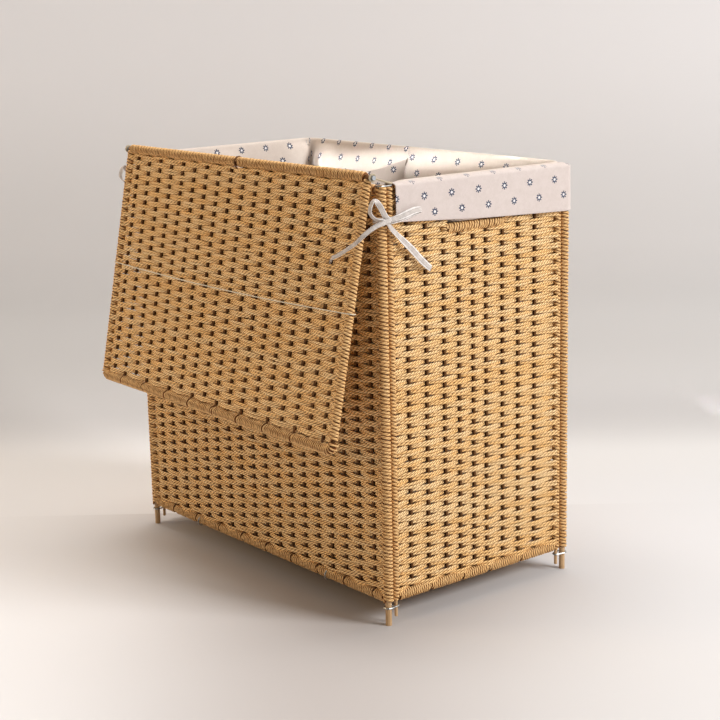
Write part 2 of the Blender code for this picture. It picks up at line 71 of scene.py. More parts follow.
def unit(vectors, least=0.0):
    return vectors / (np.linalg.norm(vectors, axis=1)[:, None] + least)


# Camera at the photograph's angle; the stage is at the end
cameraFacts = {
    "place": (1.91832, -1.459677, 0.85101), "yaw": 141.466, "pitch": -12.876, "roll": -1.253,
    "lens": 82.14,
}


def addCamera(facts):
    yaw, pitch, roll = (math.radians(facts[k]) for k in ("yaw", "pitch", "roll"))
    ahead = Vector((math.cos(pitch) * math.cos(yaw), math.cos(pitch) * math.sin(yaw), math.sin(pitch)))
    right = Vector((math.sin(yaw), -math.cos(yaw), 0))
    up = right.cross(ahead)
    right, up = (right * math.cos(roll) + up * math.sin(roll),
                 up * math.cos(roll) - right * math.sin(roll))
    data = bpy.data.cameras.new("camera")
    data.lens = facts["lens"]
    data.sensor_width = 36
    data.clip_end = 50
    camera = addObject("camera", data)
    camera.matrix_world = Matrix.Translation(Vector(facts["place"])) @ Matrix(
        ((right.x, up.x, -ahead.x), (right.y, up.y, -ahead.y), (right.z, up.z, -ahead.z))).to_4x4()
    bpy.context.scene.camera = camera


addCamera(cameraFacts)
print("camera placed")


# Node helpers: small steps that every material below uses
def newMaterial(name):
    material = bpy.data.materials.new(name)
    material.use_nodes = True
    tree = material.node_tree
    return material, tree, tree.nodes["Principled BSDF"]


def feed(tree, node, sockets):
    # Each socket gets a fixed value, a colour or another node's output
    for socket, value in sockets.items():
        if isinstance(value, (int, float)):
            node.inputs[socket].default_value = value
        elif isinstance(value, tuple):
            node.inputs[socket].default_value = (*value, 1)
        else:
            tree.links.new(value, node.inputs[socket])
    return node.outputs[0]


def mathNode(tree, operation, *values):
    node = tree.nodes.new("ShaderNodeMath")
    node.operation = operation
    return feed(tree, node, dict(enumerate(values)))


def plus(tree, first, second):
    return mathNode(tree, "ADD", first, second)


def minus(tree, first, second):
    return mathNode(tree, "SUBTRACT", first, second)


def times(tree, first, second):
    return mathNode(tree, "MULTIPLY", first, second)


def rampNode(tree, value, stops, smooth=False):
    node = tree.nodes.new("ShaderNodeValToRGB")
    if smooth:
        node.color_ramp.interpolation = "EASE"
    elements = node.color_ramp.elements
    while len(elements) < len(stops):
        elements.new(0.5)
    for element, (place, colour) in zip(elements, stops):
        element.position = place
        element.color = (*colour, 1)
    return feed(tree, node, {0: value})


def fadeNode(tree, value, low, high, first=0, last=1, smooth=False):
    # From one grey at the low value to another at the high one
    return rampNode(tree, value, ((low, (first,) * 3), (high, (last,) * 3)), smooth)


def mixNode(tree, factor, first, second, blend="MIX"):
    node = tree.nodes.new("ShaderNodeMix")
    node.data_type = "RGBA"
    node.blend_type = blend
    feed(tree, node, {0: factor, 6: first, 7: second})
    return node.outputs[2]


def noiseNode(tree, vector, scale, detail=3, roughness=0.55):
    node = tree.nodes.new("ShaderNodeTexNoise")
    feed(tree, node, {"Vector": vector, "Scale": scale, "Detail": detail, "Roughness": roughness})
    return node.outputs["Fac"]


def bumpNode(tree, height, strength, distance):
    node = tree.nodes.new("ShaderNodeBump")
    return feed(tree, node, {"Height": height, "Strength": strength, "Distance": distance})


def splitVector(tree, vector):
    node = tree.nodes.new("ShaderNodeSeparateXYZ")
    feed(tree, node, {0: vector})
    return tuple(node.outputs)


def splitUv(tree):
    node = tree.nodes.new("ShaderNodeUVMap")
    node.uv_map = "UVMap"
    return (node.outputs[0], *splitVector(tree, node.outputs[0])[:2])


def attributeNode(tree, name):
    node = tree.nodes.new("ShaderNodeAttribute")
    node.attribute_name = name
    return node.outputs["Fac"]


def objectCoords(tree):
    return tree.nodes.new("ShaderNodeTexCoord").outputs["Object"]


# Paper rope: three twisted plies. Its colour is darker between them and between neighbours, and darkest
# inside a hole, which reaches from the stake that a rope dives behind to holeShadeEnd: all of this is painted
# shade
ropeLook = {
    "light": (1.0, 0.72, 0.38), "mid": (0.98, 0.57, 0.20), "groove": (0.24, 0.068, 0.011),
    "hole": (0.075, 0.022, 0.007), "holeShadeFull": 2.0 * mm, "holeShadeEnd": 3.7 * mm,
    "plies": 3, "plyShare": 1.0, "bump": 1.0, "bumpDepth": 0.8 * mm, "roughness": 0.6, "shine": 0.3,
    "shade": 0.7, "shadeFrom": 0.05, "shadeTo": 0.55,
}


def ropeMaterial(look, name):
    material, tree, shader = newMaterial(name)
    around, along = splitUv(tree)[1:]
    turn = times(tree, minus(tree, around, along), math.pi * look["plies"])
    ply = mathNode(tree, "ABSOLUTE", mathNode(tree, "SINE", turn))
    place = objectCoords(tree)
    fine = noiseNode(tree, place, 700, 2)
    tone = plus(tree, times(tree, noiseNode(tree, place, 45, 3), 0.5), times(tree, fine, 0.35))
    tone = plus(tree, tone, times(tree, attributeNode(tree, "tone"), 0.3))
    base = rampNode(tree, tone, ((0.32, look["mid"]), (0.82, look["light"])))
    # Painted shade in the grooves between the plies
    grooves = minus(tree, 1.0, fadeNode(tree, ply, 0.05, 0.75))
    colour = mixNode(tree, minus(tree, 1.0, times(tree, grooves, look["plyShare"])), look["groove"], base)
    # Painted shade: where a rope touches its neighbour, a sixth of a turn past its crown, little light gets
    # in, so the colour darkens
    crown = times(tree, minus(tree, around, 1 / 6), 2 * math.pi)
    crown = mathNode(tree, "ABSOLUTE", mathNode(tree, "COSINE", crown))
    inLight = fadeNode(tree, crown, look["shadeFrom"], look["shadeTo"], smooth=True)
    colour = mixNode(tree, inLight, mixNode(tree, look["shade"], colour, look["groove"]), colour)
    # Painted shade in a hole: the colour goes dark near the stake that the rope dives behind
    dark = fadeNode(tree, times(tree, attributeNode(tree, "slot"), 100),
                    100 * look["holeShadeFull"], 100 * look["holeShadeEnd"], 1, 0, True)
    height = plus(tree, mathNode(tree, "POWER", ply, 0.7), times(tree, fine, 0.3))
    feed(tree, shader, {
        "Base Color": mixNode(tree, dark, colour, look["hole"]), "Roughness": look["roughness"],
        "Specular IOR Level": minus(tree, look["shine"], times(tree, dark, look["shine"])),
        "Normal": bumpNode(tree, height, look["bump"], look["bumpDepth"])})
    return material


paperRope = ropeMaterial(ropeLook, "paper_rope_woven")
# Wound rope: a darker copy of the woven rope, painted shade, with its sides darkened further between the
# turns, also painted shade
woundRope = ropeMaterial(dict(ropeLook, light=(0.96, 0.64, 0.30), mid=(0.80, 0.44, 0.15), plyShare=0.6,
                              bump=0.8, shade=0.95, shadeFrom=0.35, shadeTo=0.98), "paper_rope_wound")

# Wire: darker and lighter patches, then the shine; the hinge bar is bare metal from bareFrom to its ends. The
# stakes' paint is a much darker copy of the beige post paint, painted shade
wireLook = {
    "post": ((0.50, 0.30, 0.14), (0.58, 0.37, 0.19)), "link": ((0.34, 0.26, 0.17), (0.46, 0.37, 0.25)),
    "stake": ((0.12, 0.052, 0.018), (0.20, 0.095, 0.035), 0.12),
    "zinc": ((0.30, 0.30, 0.29), (0.52, 0.52, 0.50)), "bare": (0.42, 0.44, 0.47), "bareFrom": 294.9 * mm,
}


def paintedWireMaterial(name, dark, light, shine=0.5):
    material, tree, shader = newMaterial(name)
    place = objectCoords(tree)
    specks = noiseNode(tree, place, 700, 2)
    feed(tree, shader, {
        "Base Color": rampNode(tree, noiseNode(tree, place, 40, 4), ((0.3, dark), (0.7, light))),
        "Roughness": fadeNode(tree, specks, 0.3, 0.7, 0.4, 0.58), "Specular IOR Level": shine,
        "Normal": bumpNode(tree, specks, 0.15, 0.2 * mm)})
    return material, tree, shader


def zincMaterial(name, dark, light):
    material, tree, shader = newMaterial(name)
    spangle = noiseNode(tree, objectCoords(tree), 300, 3)
    feed(tree, shader, {"Base Color": rampNode(tree, spangle, ((0.3, dark), (0.7, light))),
                        "Metallic": 1.0, "Roughness": fadeNode(tree, spangle, 0.3, 0.7, 0.3, 0.5)})
    return material


def lidWireMaterial(look):
    # Painted like the stakes, in their darker copy of the beige paint as painted shade, but the ends of the
    # hinge bar are rubbed down to the metal
    material, tree, shader = paintedWireMaterial("painted_wire_lid", *look["stake"])
    end = mathNode(tree, "ABSOLUTE", splitVector(tree, objectCoords(tree))[0])
    bare = mathNode(tree, "GREATER_THAN", end, look["bareFrom"])
    painted = shader.inputs["Base Color"].links[0].from_socket
    feed(tree, shader, {"Base Color": mixNode(tree, bare, painted, look["bare"]), "Metallic": bare})
    return material


# Painted shade: stakes, frames and rings get the dark copy of the beige paint
shadedStakePaint = paintedWireMaterial("painted_wire_stakes_shaded", *wireLook["stake"])[0]
wirePaints = {
    "lid_frame": lidWireMaterial(wireLook),
    "hinge_link": paintedWireMaterial("painted_wire_links", *wireLook["link"])[0],
    "_hoop": paintedWireMaterial("painted_wire_beige", *wireLook["post"])[0],
    "_clip": zincMaterial("galvanised_wire", *wireLook["zinc"]),
    "_grid": shadedStakePaint, "_frame": shadedStakePaint, "hinge_ring": shadedStakePaint,
}
for nodeName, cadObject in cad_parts.items():
    for part, paint in wirePaints.items():
        if part in nodeName:
            for materialSlot in cadObject.material_slots:
                materialSlot.material = paint
            break
print("materials made")


# Ropes: each run is a path with an outward side, a flattened section and a ply twist in its UVs
def ropeTubes(name, runs, material, lead=20 * mm, sides=6):
    coords, loops, starts, totals, uvs, slots, tones = [], [], [], [], [], [], []
    angles = (np.arange(sides) + 0.5) / sides * 2 * math.pi
    base = 0
    loopCount = 0
    for run in runs:
        path, out = run["path"], run["out"]
        count = len(path)
        ahead = unit(np.gradient(path, axis=0))
        out = unit(out - (out * ahead).sum(1)[:, None] * ahead)
        across = np.cross(ahead, out)
        width = np.broadcast_to(run["width"], (count,))[:, None, None] / 2
        thick = np.broadcast_to(run["thick"], (count,))[:, None, None] / 2
        ring = (path[:, None] + across[:, None] * width * np.cos(angles)[None, :, None]
                + out[:, None] * thick * np.sin(angles)[None, :, None])
        coords.append(ring.reshape(-1, 3))
        along = pathPlaces(path) / lead + run.get("phase", 0.0)
        i, j = np.meshgrid(np.arange(count - 1), np.arange(sides), indexing="ij")
        k = (j + 1) % sides
        quads = np.stack((i * sides + j, (i + 1) * sides + j, (i + 1) * sides + k, i * sides + k), -1)
        loops.append((quads + base).reshape(-1))
        u0, u1 = j / sides, (j + 1) / sides
        a0, a1 = along[i], along[i + 1]
        uvs.append(np.stack((u0, a0, u0, a1, u1, a1, u1, a0), -1).reshape(-1))
        quadCount = (count - 1) * sides
        starts.append(loopCount + 4 * np.arange(quadCount))
        totals.append(np.full(quadCount, 4))
        loopCount += 4 * quadCount
        for cap in (np.arange(sides), (count - 1) * sides + np.arange(sides)[::-1]):
            loops.append(cap + base)
            uvs.append(np.zeros(2 * sides))
            starts.append(np.array((loopCount,)))
            totals.append(np.array((sides,)))
            loopCount += sides
        # How far each point is from the stake that its own side dives behind
        outer = np.broadcast_to(run.get("outerSlot", 1.0), (count,))[:, None]
        inner = np.broadcast_to(run.get("innerSlot", 1.0), (count,))[:, None]
        slots.append(np.where(np.sin(angles)[None] > 0, outer, inner).reshape(-1))
        tones.append(np.full(count * sides, run.get("tone", 0.5)))
        base += count * sides
    coords = np.concatenate(coords)
    loops = np.concatenate(loops)
    mesh = bpy.data.meshes.new(name)
    mesh.vertices.add(len(coords))
    mesh.vertices.foreach_set("co", coords.ravel())
    mesh.loops.add(len(loops))
    mesh.loops.foreach_set("vertex_index", loops)
    starts = np.concatenate(starts)
    mesh.polygons.add(len(starts))
    mesh.polygons.foreach_set("loop_start", starts)
    mesh.polygons.foreach_set("loop_total", np.concatenate(totals))
    mesh.update(calc_edges=True)
    mesh.uv_layers.new(name="UVMap").data.foreach_set("uv", np.concatenate(uvs))
    for label, values in (("slot", slots), ("tone", tones)):
        mesh.attributes.new(label, "FLOAT", "POINT").data.foreach_set("value", np.concatenate(values))
    mesh.shade_smooth()
    piece = addObject(name, mesh)
    mesh.materials.append(material)
    return piece


def dress(piece, body, node):
    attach(piece, body)
    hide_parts(node)


def layRope(name, runs, node, body="basket", material=woundRope):
    dress(ropeTubes(name, runs, material), body, node)


# A panel's own directions: across to the right for someone who faces it, out, and up
def panel(origin, across, out, up):
    return {"origin": np.array(origin), "across": np.array(across, float),
            "out": np.array(out, float), "up": np.array(up, float)}


def onPanel(side, x, d, z):
    return (side["origin"] + np.multiply.outer(x, side["across"]) + np.multiply.outer(d, side["out"])
            + np.multiply.outer(z, side["up"]))


tilt = basket["tilt"]
panels = {
    "front": panel((0, middleY - basket["halfY"], 0), (1, 0, 0), (0, -1, 0), (0, 0, 1)),
    "back": panel((0, middleY + basket["halfY"], 0), (-1, 0, 0), (0, 1, 0), (0, 0, 1)),
    "right": panel((half, middleY, 0), (0, 1, 0), (1, 0, 0), (0, 0, 1)),
    "left": panel((-half, middleY, 0), (0, -1, 0), (-1, 0, 0), (0, 0, 1)),
    "lid": panel((0, middleY + basket["hingeY"], basket["hingeZ"]), (1, 0, 0),
                 (0, -math.cos(tilt), math.sin(tilt)), (0, math.sin(tilt), math.cos(tilt))),
    "base": panel((0, middleY, basket["railHeight"]), (1, 0, 0), (0, 0, -1), (0, -1, 0)),
}

weaveFacts = {
    "ropeWidth": 4.3 * mm, "ropeThick": 3.1 * mm, "swing": 3.1 * mm, "spread": 0.12 * mm,
    "squeeze": 0.12 * mm, "wobble": 0.2 * mm, "waves": ((31, 1), (73, 1), (139, 0.7)),
    "ripple": 0.15 * mm, "intoBead": 2.6 * mm, "swings": (0.94, 1.06), "widths": (0.96, 1.03),
    "shares": (0, 0.14, 0.5, 0.86), "depths": (1.0, 0.80, 0.0, -0.80),
}
noSlot = 1.0  # metres to a stake, for a point with no hole beside it


def weaveRow(places, first, last, parity, lean, facts):
    # One row from stake to stake: places, depths, and distances from the stakes on both sides
    xs, signs, outer, inner = [], [], [], []
    for index in range(first, last + 1):
        here = places[index]
        sign = -1 if (index - 1 + parity) % 2 == 0 else 1
        if index == last:
            there, part, sample = here + 0.1 * mm, np.array((0.0,)), np.array((1.0,))
        else:
            there, part, sample = places[index + 1], np.array(facts["shares"]), np.array(facts["depths"])
        xs.append(here + (there - here) * part)
        signs.append(sign * sample)
        # A post has no hole beside it
        away = np.abs(there - here) * part * lean[1] + (noSlot if index == 0 else 0)
        back = np.abs(there - here) * (1 - part) * lean[0] + (noSlot if index + 1 >= len(places) - 1 else 0)
        outer.append(away if sign < 0 else back)
        inner.append(back if sign < 0 else away)
    return [np.concatenate(values) for values in (xs, signs, outer, inner)]


def weaveRows(side, stakes, ends, postSwing, low, pitch, rows, behind, facts=weaveFacts, cutRows=None,
              shift=None, hands=(-1, 1), lean=(1.0, 1.0)):
    # Pairs of rope in plain weave; behind is the parity of row plus stake that goes behind
    runs = []
    places = [ends[0]] + list(stakes) + [ends[1]]
    final = len(places) - 1
    for row in range(rows):
        middle = low + (row + 0.5) * 2 * pitch
        spans = [(0, final)]
        if cutRows and middle > cutRows["above"]:
            spans = [(0, cutRows["from"] + 1), (cutRows["to"] + 1, final)]
        for first, last in spans:
            xs, depth, outer, inner = weaveRow(places, first, last, row + behind, lean, facts)
            for hand in hands:
                swing = facts["swing"] * rng.uniform(*facts["swings"])
                phases = rng.uniform(0, 6.28, 4)
                wobble = facts["wobble"] * sum(share * np.sin(xs * turns + phase) for (turns, share), phase
                                               in zip(facts["waves"], phases))
                offset = pitch / 2 + np.where(depth > 0, facts["spread"], facts["squeeze"]) * depth
                x, z = xs, middle + hand * offset + wobble
                d = swing * depth + facts["ripple"] * np.sin(xs * 97 + phases[3])
                # The last points rise to the bead of rope round each post, then go into it
                if first == 0:
                    lift = np.sign(depth[0]) * postSwing
                    d[0] = lift
                    x, d, z = (np.append(add, values) for add, values in (
                        (places[0] - facts["intoBead"], x), (lift * 0.6, d), (z[0], z)))
                if last == final:
                    lift = np.sign(depth[-1]) * postSwing
                    d[-1] = lift
                    x, d, z = (np.append(values, add) for add, values in (
                        (places[-1] + facts["intoBead"], x), (lift * 0.6, d), (z[-1], z)))
                if shift:
                    z, d = shift(x, z, d)
                runs.append({
                    "path": onPanel(side, x, d, z), "out": np.tile(side["out"], (len(x), 1)),
                    "width": facts["ropeWidth"] * rng.uniform(*facts["widths"]), "thick": facts["ropeThick"],
                    "outerSlot": np.interp(x, xs, outer), "innerSlot": np.interp(x, xs, inner),
                    "tone": rng.uniform(0, 1), "phase": rng.uniform(0, 1)})
    return runs


windFacts = {
    "thick": 2.9 * mm, "turnSteps": 12, "secondStart": 0.93,
    "pinchFade": 0.9 * mm, "pinchShadeSlot": 3.3 * mm, "uneven": 0.18 * mm,
}


def windRuns(path, out, core, pitch, thick=windFacts["thick"], fill=0.97, tall=0.0, lift=0.0, pinch=(),
             starts=1):
    # Rope wound along a bar or round a bend: one helix, oval where tall is given, tight at a pinch, where its
    # colour darkens as painted shade
    path, out = np.asarray(path, float), np.asarray(out, float)
    place = pathPlaces(path)
    s = np.linspace(0, place[-1], int(place[-1] / pitch / starts * windFacts["turnSteps"]) + 1)
    jitter = 0.08 * pitch * np.sin(s * 83) + 0.06 * pitch * np.sin(s * 211 + 2)
    centre = np.stack([np.interp(s + jitter, place, path[:, i]) for i in range(3)], -1)
    side = np.stack([np.interp(s, place, out[:, i]) for i in range(3)], -1)
    ahead = unit(np.gradient(centre, axis=0), 1e-12)
    side = unit(side - (side * ahead).sum(1)[:, None] * ahead)
    third = np.cross(side, ahead)
    tight = np.zeros(len(s))
    for low, high in pinch:
        past = np.clip(np.abs(s - (low + high) / 2) - (high - low) / 2, 0, 1)
        tight = np.maximum(tight, np.exp(-(past / windFacts["pinchFade"]) ** 2))
    reach = core + thick / 2 * (1 - 0.45 * tight)
    reach = reach + windFacts["uneven"] * np.sin(s * 417 + 1)
    runs = []
    for start in range(starts):
        # Two ropes wound together lie closer to each other than to their next turn
        turn = 2 * math.pi * (s / pitch + start * windFacts["secondStart"]) / starts
        radial = side * np.cos(turn)[:, None] + third * np.sin(turn)[:, None]
        spot = (centre + side * (reach * np.cos(turn))[:, None]
                + third * ((reach + tall * (1 - tight)) * np.sin(turn) + lift)[:, None])
        runs.append({"path": spot, "out": radial, "width": pitch * fill, "thick": thick * (1 - 0.4 * tight),
                     # Painted shade: at a pinch the rope counts as near a stake, so its colour darkens
                     "outerSlot": np.where(tight > 0.6, windFacts["pinchShadeSlot"], noSlot),
                     "tone": rng.uniform(0.3, 0.7)})
    return runs


def straight(side, x0, z0, x1, z1, count=24):
    share = np.linspace(0, 1, count)
    path = onPanel(side, x0 + (x1 - x0) * share, np.zeros(count), z0 + (z1 - z0) * share)
    return path, np.tile(side["out"], (count, 1))


wallFacts = {
    "ropePitch": 3.75 * mm, "postPitch": 4.95 * mm, "railPitch": 3.75 * mm, "rimPitch": 3.75 * mm,
    "postLow": 34 * mm, "postHigh": 597.5 * mm, "fieldLow": 41.9 * mm, "rowInset": 3.5 * mm,
    "rowSwing": 1.55 * mm, "rimInset": 4 * mm, "railOutset": 1 * mm, "railRope": 3.0 * mm,
    "railTall": 2.4 * mm, "railLift": 2.3 * mm, "pinchHalf": 1.3 * mm,
    # How high the rows go, and how far the painted shade of the holes reaches on both sides of a stake
    "longTop": 585.1 * mm, "sideTop": 589.1 * mm, "longLean": (1.0, 0.8), "sideLean": (0.66, 1.0),
}
# Below the top bar, between two stakes counted from the left
handHole = {
    "low": 532 * mm, "first": 2, "last": 6, "clear": 2 * mm, "dip": 4 * mm,
    "barPitch": 4.6 * mm, "barRope": 3.8 * mm, "barTall": 1.2 * mm, "stakeCore": 2.05 * mm,
}


def buildWall(name, stakes, halfWidth, radius, fieldHigh, behind, lean, hole=None):
    side, facts, wire = panels[name], wallFacts, basket["wireRadius"]
    cover = radius + basket["cover"]
    fieldLow = facts["fieldLow"]
    rows = int((fieldHigh - fieldLow) / (2 * facts["ropePitch"]))
    pitch = (fieldHigh - fieldLow) / rows / 2
    cutRows = None
    if hole:
        cutRows = {"above": hole["low"] - wire - hole["clear"], "from": hole["first"], "to": hole["last"]}
    reach = halfWidth - facts["rowInset"]
    runs = weaveRows(side, stakes, (-reach, reach), cover - facts["rowSwing"], fieldLow, pitch, rows, behind,
                     cutRows=cutRows, lean=lean)
    layRope(name + "_woven_rope", runs, name + "_weave", material=paperRope)
    core = radius + basket["slack"]
    runs = []
    for x in (-halfWidth, halfWidth):
        runs += windRuns(*straight(side, x, facts["postLow"], x, facts["postHigh"]), core,
                         facts["postPitch"], starts=2)
    layRope(name + "_post_rope", runs, name + "_weave")
    reach, height = halfWidth - radius - facts["rimInset"], basket["rimTop"] - cover
    runs = windRuns(*straight(side, -reach, height, reach, height), core, facts["rimPitch"])
    layRope(name + "_rim_rope", runs, name + "_top_binding")
    reach, height = halfWidth - cover + facts["railOutset"], basket["railHeight"]
    pinch = [(s - facts["pinchHalf"] + reach, s + facts["pinchHalf"] + reach) for s in stakes[1::2]]
    runs = windRuns(*straight(side, -reach, height, reach, height), wire + basket["slack"],
                    facts["railPitch"], thick=facts["railRope"], tall=facts["railTall"],
                    lift=facts["railLift"], pinch=pinch)
    layRope(name + "_rail_rope", runs, name + "_bottom_binding")
    if hole:
        ends, low = (stakes[hole["first"]], stakes[hole["last"]]), hole["low"]
        runs = windRuns(*straight(side, ends[0] + hole["clear"], low, ends[1] - hole["clear"], low),
                        wire + basket["slack"], hole["barPitch"], thick=hole["barRope"],
                        tall=hole["barTall"], starts=2)
        for x in ends:
            runs += windRuns(*straight(side, x, low - hole["dip"], x, fieldHigh), hole["stakeCore"],
                             facts["railPitch"])
        layRope(name + "_hand_hole_rope", runs, name + "_hand_hole_binding")
    print(name, "panel woven")


for wall in ("front", "back"):
    buildWall(wall, longStakes, half, basket["rodRadius"], wallFacts["longTop"], 1, wallFacts["longLean"])
for wall in ("right", "left"):
    buildWall(wall, sideStakes, basket["sideHalf"], basket["wireRadius"], wallFacts["sideTop"], 0,
              wallFacts["sideLean"], handHole)


# Lid: woven field, wound side bars, free bar and hinge bar
lidFacts = {
    "rowStart": -8.5 * mm, "rowPitch": 3.665 * mm, "rows": 46, "inset": 3.5 * mm, "postSwing": 4.45 * mm,
    "extraRow": 1.7 * mm, "sidePitch": 4.7 * mm, "sideStart": -3.4 * mm,
    "freePitch": 3.75 * mm, "freeRope": 4.6 * mm, "freeDrop": 2.2 * mm, "freePinch": (4.2 * mm, 6.6 * mm),
    "hingePitch": 3.7 * mm, "hingeRope": 4.2 * mm, "ringGap": 2.2 * mm,
    # The rows part round the middle ring: half width, height and how far; lean sets how far the painted shade
    # of the holes reaches on both sides of a stake
    "ringPart": (5 * mm, 16 * mm, 3 * mm), "lean": (1.0, 0.8),
    # A splice: half width, half height, how far its rows part and sink
    "splice": (7 * mm, 4.5 * mm, 1.5 * mm, 1.2 * mm),
    # Where rows stand apart at a joined rope: mm to the right and up from the hinge bar's middle
    "splices": ((186, -92), (87, -143), (204, -186), (60, -214), (-40, -236), (140, -260), (-160, -150),
                (-90, -330), (10, -338), (232, -64), (-225, -205)),
}


def buildLid():
    side, facts = panels["lid"], lidFacts
    bend, lidHalf, length = basket["lidBend"], basket["lidHalf"], basket["lidLength"]
    core = basket["lidRadius"] + basket["slack"]
    reach = lidHalf - facts["inset"]
    low = facts["rowStart"] - facts["rows"] * 2 * facts["rowPitch"]

    def nudge(xs, z, d):
        wide, high, away = facts["ringPart"]
        near = np.exp(-(xs / wide) ** 2) * np.clip(1 + (z - facts["rowStart"]) / high, 0, 1)
        z = z - away * near
        wide, high, away, sink = facts["splice"]
        for x0, z0 in facts["splices"]:
            dx, dz = (xs - x0 * mm) / wide, (z - z0 * mm) / high
            push = np.exp(-dx ** 2 - dz ** 2)
            z = z + np.sign(dz) * push * away
            d = d - push * sink
        return z, d

    def lidRows(start, rows, **other):
        return weaveRows(side, longStakes, (-reach, reach), facts["postSwing"], start, facts["rowPitch"],
                         rows, 1, shift=nudge, lean=facts["lean"], **other)

    runs = lidRows(low, facts["rows"])
    runs += lidRows(facts["rowStart"] - facts["extraRow"], 1, hands=(-1,))
    layRope("lid_woven_rope", runs, "lid_weave", "lid", paperRope)
    runs = []
    for x in (-lidHalf, lidHalf):
        runs += windRuns(*straight(side, x, facts["sideStart"], x, -length + bend), core,
                         facts["sidePitch"], starts=2)
    layRope("lid_side_rope", runs, "lid_weave", "lid")
    turn = np.linspace(0, math.pi / 2, 8)
    xs = np.concatenate((-(lidHalf - bend) - bend * np.cos(turn), (lidHalf - bend) + bend * np.sin(turn)))
    zs = np.concatenate((-(length - bend) - bend * np.sin(turn), -(length - bend) - bend * np.cos(turn)))
    # The free bar's rope hangs lower towards the right
    path = onPanel(side, xs, np.zeros(len(xs)), zs - facts["freeDrop"] * (1 + 0.9 * xs / lidHalf))
    pinch = [tuple(s + lidHalf + edge for edge in facts["freePinch"]) for s in longStakes[1:-1:2]]
    runs = windRuns(path, np.tile(side["out"], (len(xs), 1)), core, facts["freePitch"],
                    thick=facts["freeRope"], fill=0.88, pinch=pinch)
    layRope("lid_free_rope", runs, "lid_free_binding", "lid")
    runs = []
    for x0, x1 in ((-reach, -facts["ringGap"]), (facts["ringGap"], reach)):
        runs += windRuns(*straight(side, x0, 0, x1, 0), core, facts["hingePitch"],
                         thick=facts["hingeRope"], fill=0.86, starts=2)
    layRope("lid_hinge_rope", runs, "lid_hinge_binding", "lid")
    print("lid woven")


buildLid()


# Floor panel, woven across the short side; stakes stand further apart than in the walls
floorFacts = dict(
    weaveFacts, shares=(0, 0.06, 0.2, 0.5, 0.8, 0.94), depths=(1.0, 0.93, 0.6, 0.0, -0.6, -0.93),
    stakes=(-141 * mm, -47 * mm, 47 * mm, 141 * mm), insetX=12.9 * mm, insetY=10.9 * mm, margin=8 * mm,
    pitch=3.75 * mm, postSwing=3.4 * mm, bend=20 * mm, edgePitch=4.4 * mm)


def roundedCorners(halfX, halfY, bend):
    # Nine points round each corner, anticlockwise, with the angles at which they face
    for turn, (sx, sy) in enumerate(((1, 1), (-1, 1), (-1, -1), (1, -1))):
        for angle in np.linspace(turn * math.pi / 2, (turn + 1) * math.pi / 2, 9):
            yield (sx * (halfX - bend) + bend * math.cos(angle), sy * (halfY - bend) + bend * math.sin(angle),
                   angle)


def buildFloor():
    side, facts = panels["base"], floorFacts
    reach, reachY = half - facts["insetX"], basket["halfY"] - facts["insetY"]
    rows = int((2 * reachY - facts["margin"]) / (2 * facts["pitch"]))
    runs = weaveRows(side, facts["stakes"], (-reach + 2 * mm, reach - 2 * mm), facts["postSwing"],
                     -rows * facts["pitch"], facts["pitch"], rows, 0, facts)
    layRope("base_woven_rope", runs, "base_weave", material=paperRope)
    corners = np.array(list(roundedCorners(reach, reachY, facts["bend"])))
    xs, ys = np.concatenate((corners, corners[:1])).T[:2]
    path = onPanel(side, xs, np.zeros(len(xs)), ys)
    edge = windRuns(path, np.tile(side["out"], (len(xs), 1)), basket["wireRadius"] + basket["slack"],
                    facts["edgePitch"])
    layRope("base_edge_rope", edge, "base_weave")
    print("floor woven")


buildFloor()


# Cloth: a grid of points gets a flat pattern in its UVs, in metres, and a little thickness
def clothSheet(name, points, flat, material, thick=1.2 * mm, closed=False, offset=0):
    rows, cols = points.shape[:2]
    work = bmesh.new()
    verts = [[work.verts.new(points[i, j]) for j in range(cols)] for i in range(rows)]
    uvLayer = work.loops.layers.uv.new("UVMap")
    for i in range(rows - 1):
        for j in range(cols - (0 if closed else 1)):
            k = (j + 1) % cols
            face = work.faces.new((verts[i][j], verts[i][k], verts[i + 1][k], verts[i + 1][j]))
            corners = ((i, j), (i, j + 1), (i + 1, j + 1), (i + 1, j))
            for loop, (a, b) in zip(face.loops, corners):
                loop[uvLayer].uv = flat[a, b]
            face.smooth = True
    mesh = bpy.data.meshes.new(name)
    work.to_mesh(mesh)
    work.free()
    piece = addObject(name, mesh)
    mesh.materials.append(material)
    bpy.ops.object.select_all(action="DESELECT")
    piece.select_set(True)
    bpy.context.view_layer.objects.active = piece
    shell = piece.modifiers.new("thickness", "SOLIDIFY")
    shell.thickness = thick
    shell.offset = offset
    finer = piece.modifiers.new("finer", "SUBSURF")
    finer.levels = finer.render_levels = 1
    for modifier in ("thickness", "finer"):
        bpy.ops.object.modifier_apply(modifier=modifier)
    piece.select_set(False)
    return piece


# Cotton: plain weave, slubs, and a small printed flower on a slanted lattice. Nothing is printed below
# lowest, and from that share of a decimetre above the row's start the ink is paler, a painted highlight
cottonLook = {
    "cloth": (0.665, 0.57, 0.53), "slub": (0.57, 0.475, 0.43), "print": (0.03, 0.045, 0.09),
    "centre": (0.93, 0.91, 0.91), "lowest": -38 * mm, "inkHighlightFrom": 0.13,
    "stepAlong": 48 * mm, "stepAside": 18 * mm, "stepDown": 22.5 * mm,
    "ring": 2.8 * mm, "ringHalf": 0.8 * mm, "rayEnd": 5.5 * mm, "rays": 8, "wander": 1.2 * mm,
}


def clothFinish(tree, shader, colour, threads, strength, depth, roughness, sheen=0.0):
    feed(tree, shader, {"Base Color": colour, "Roughness": roughness, "Specular IOR Level": 0.2,
                        "Normal": bumpNode(tree, threads, strength, depth), "Sheen Weight": sheen})


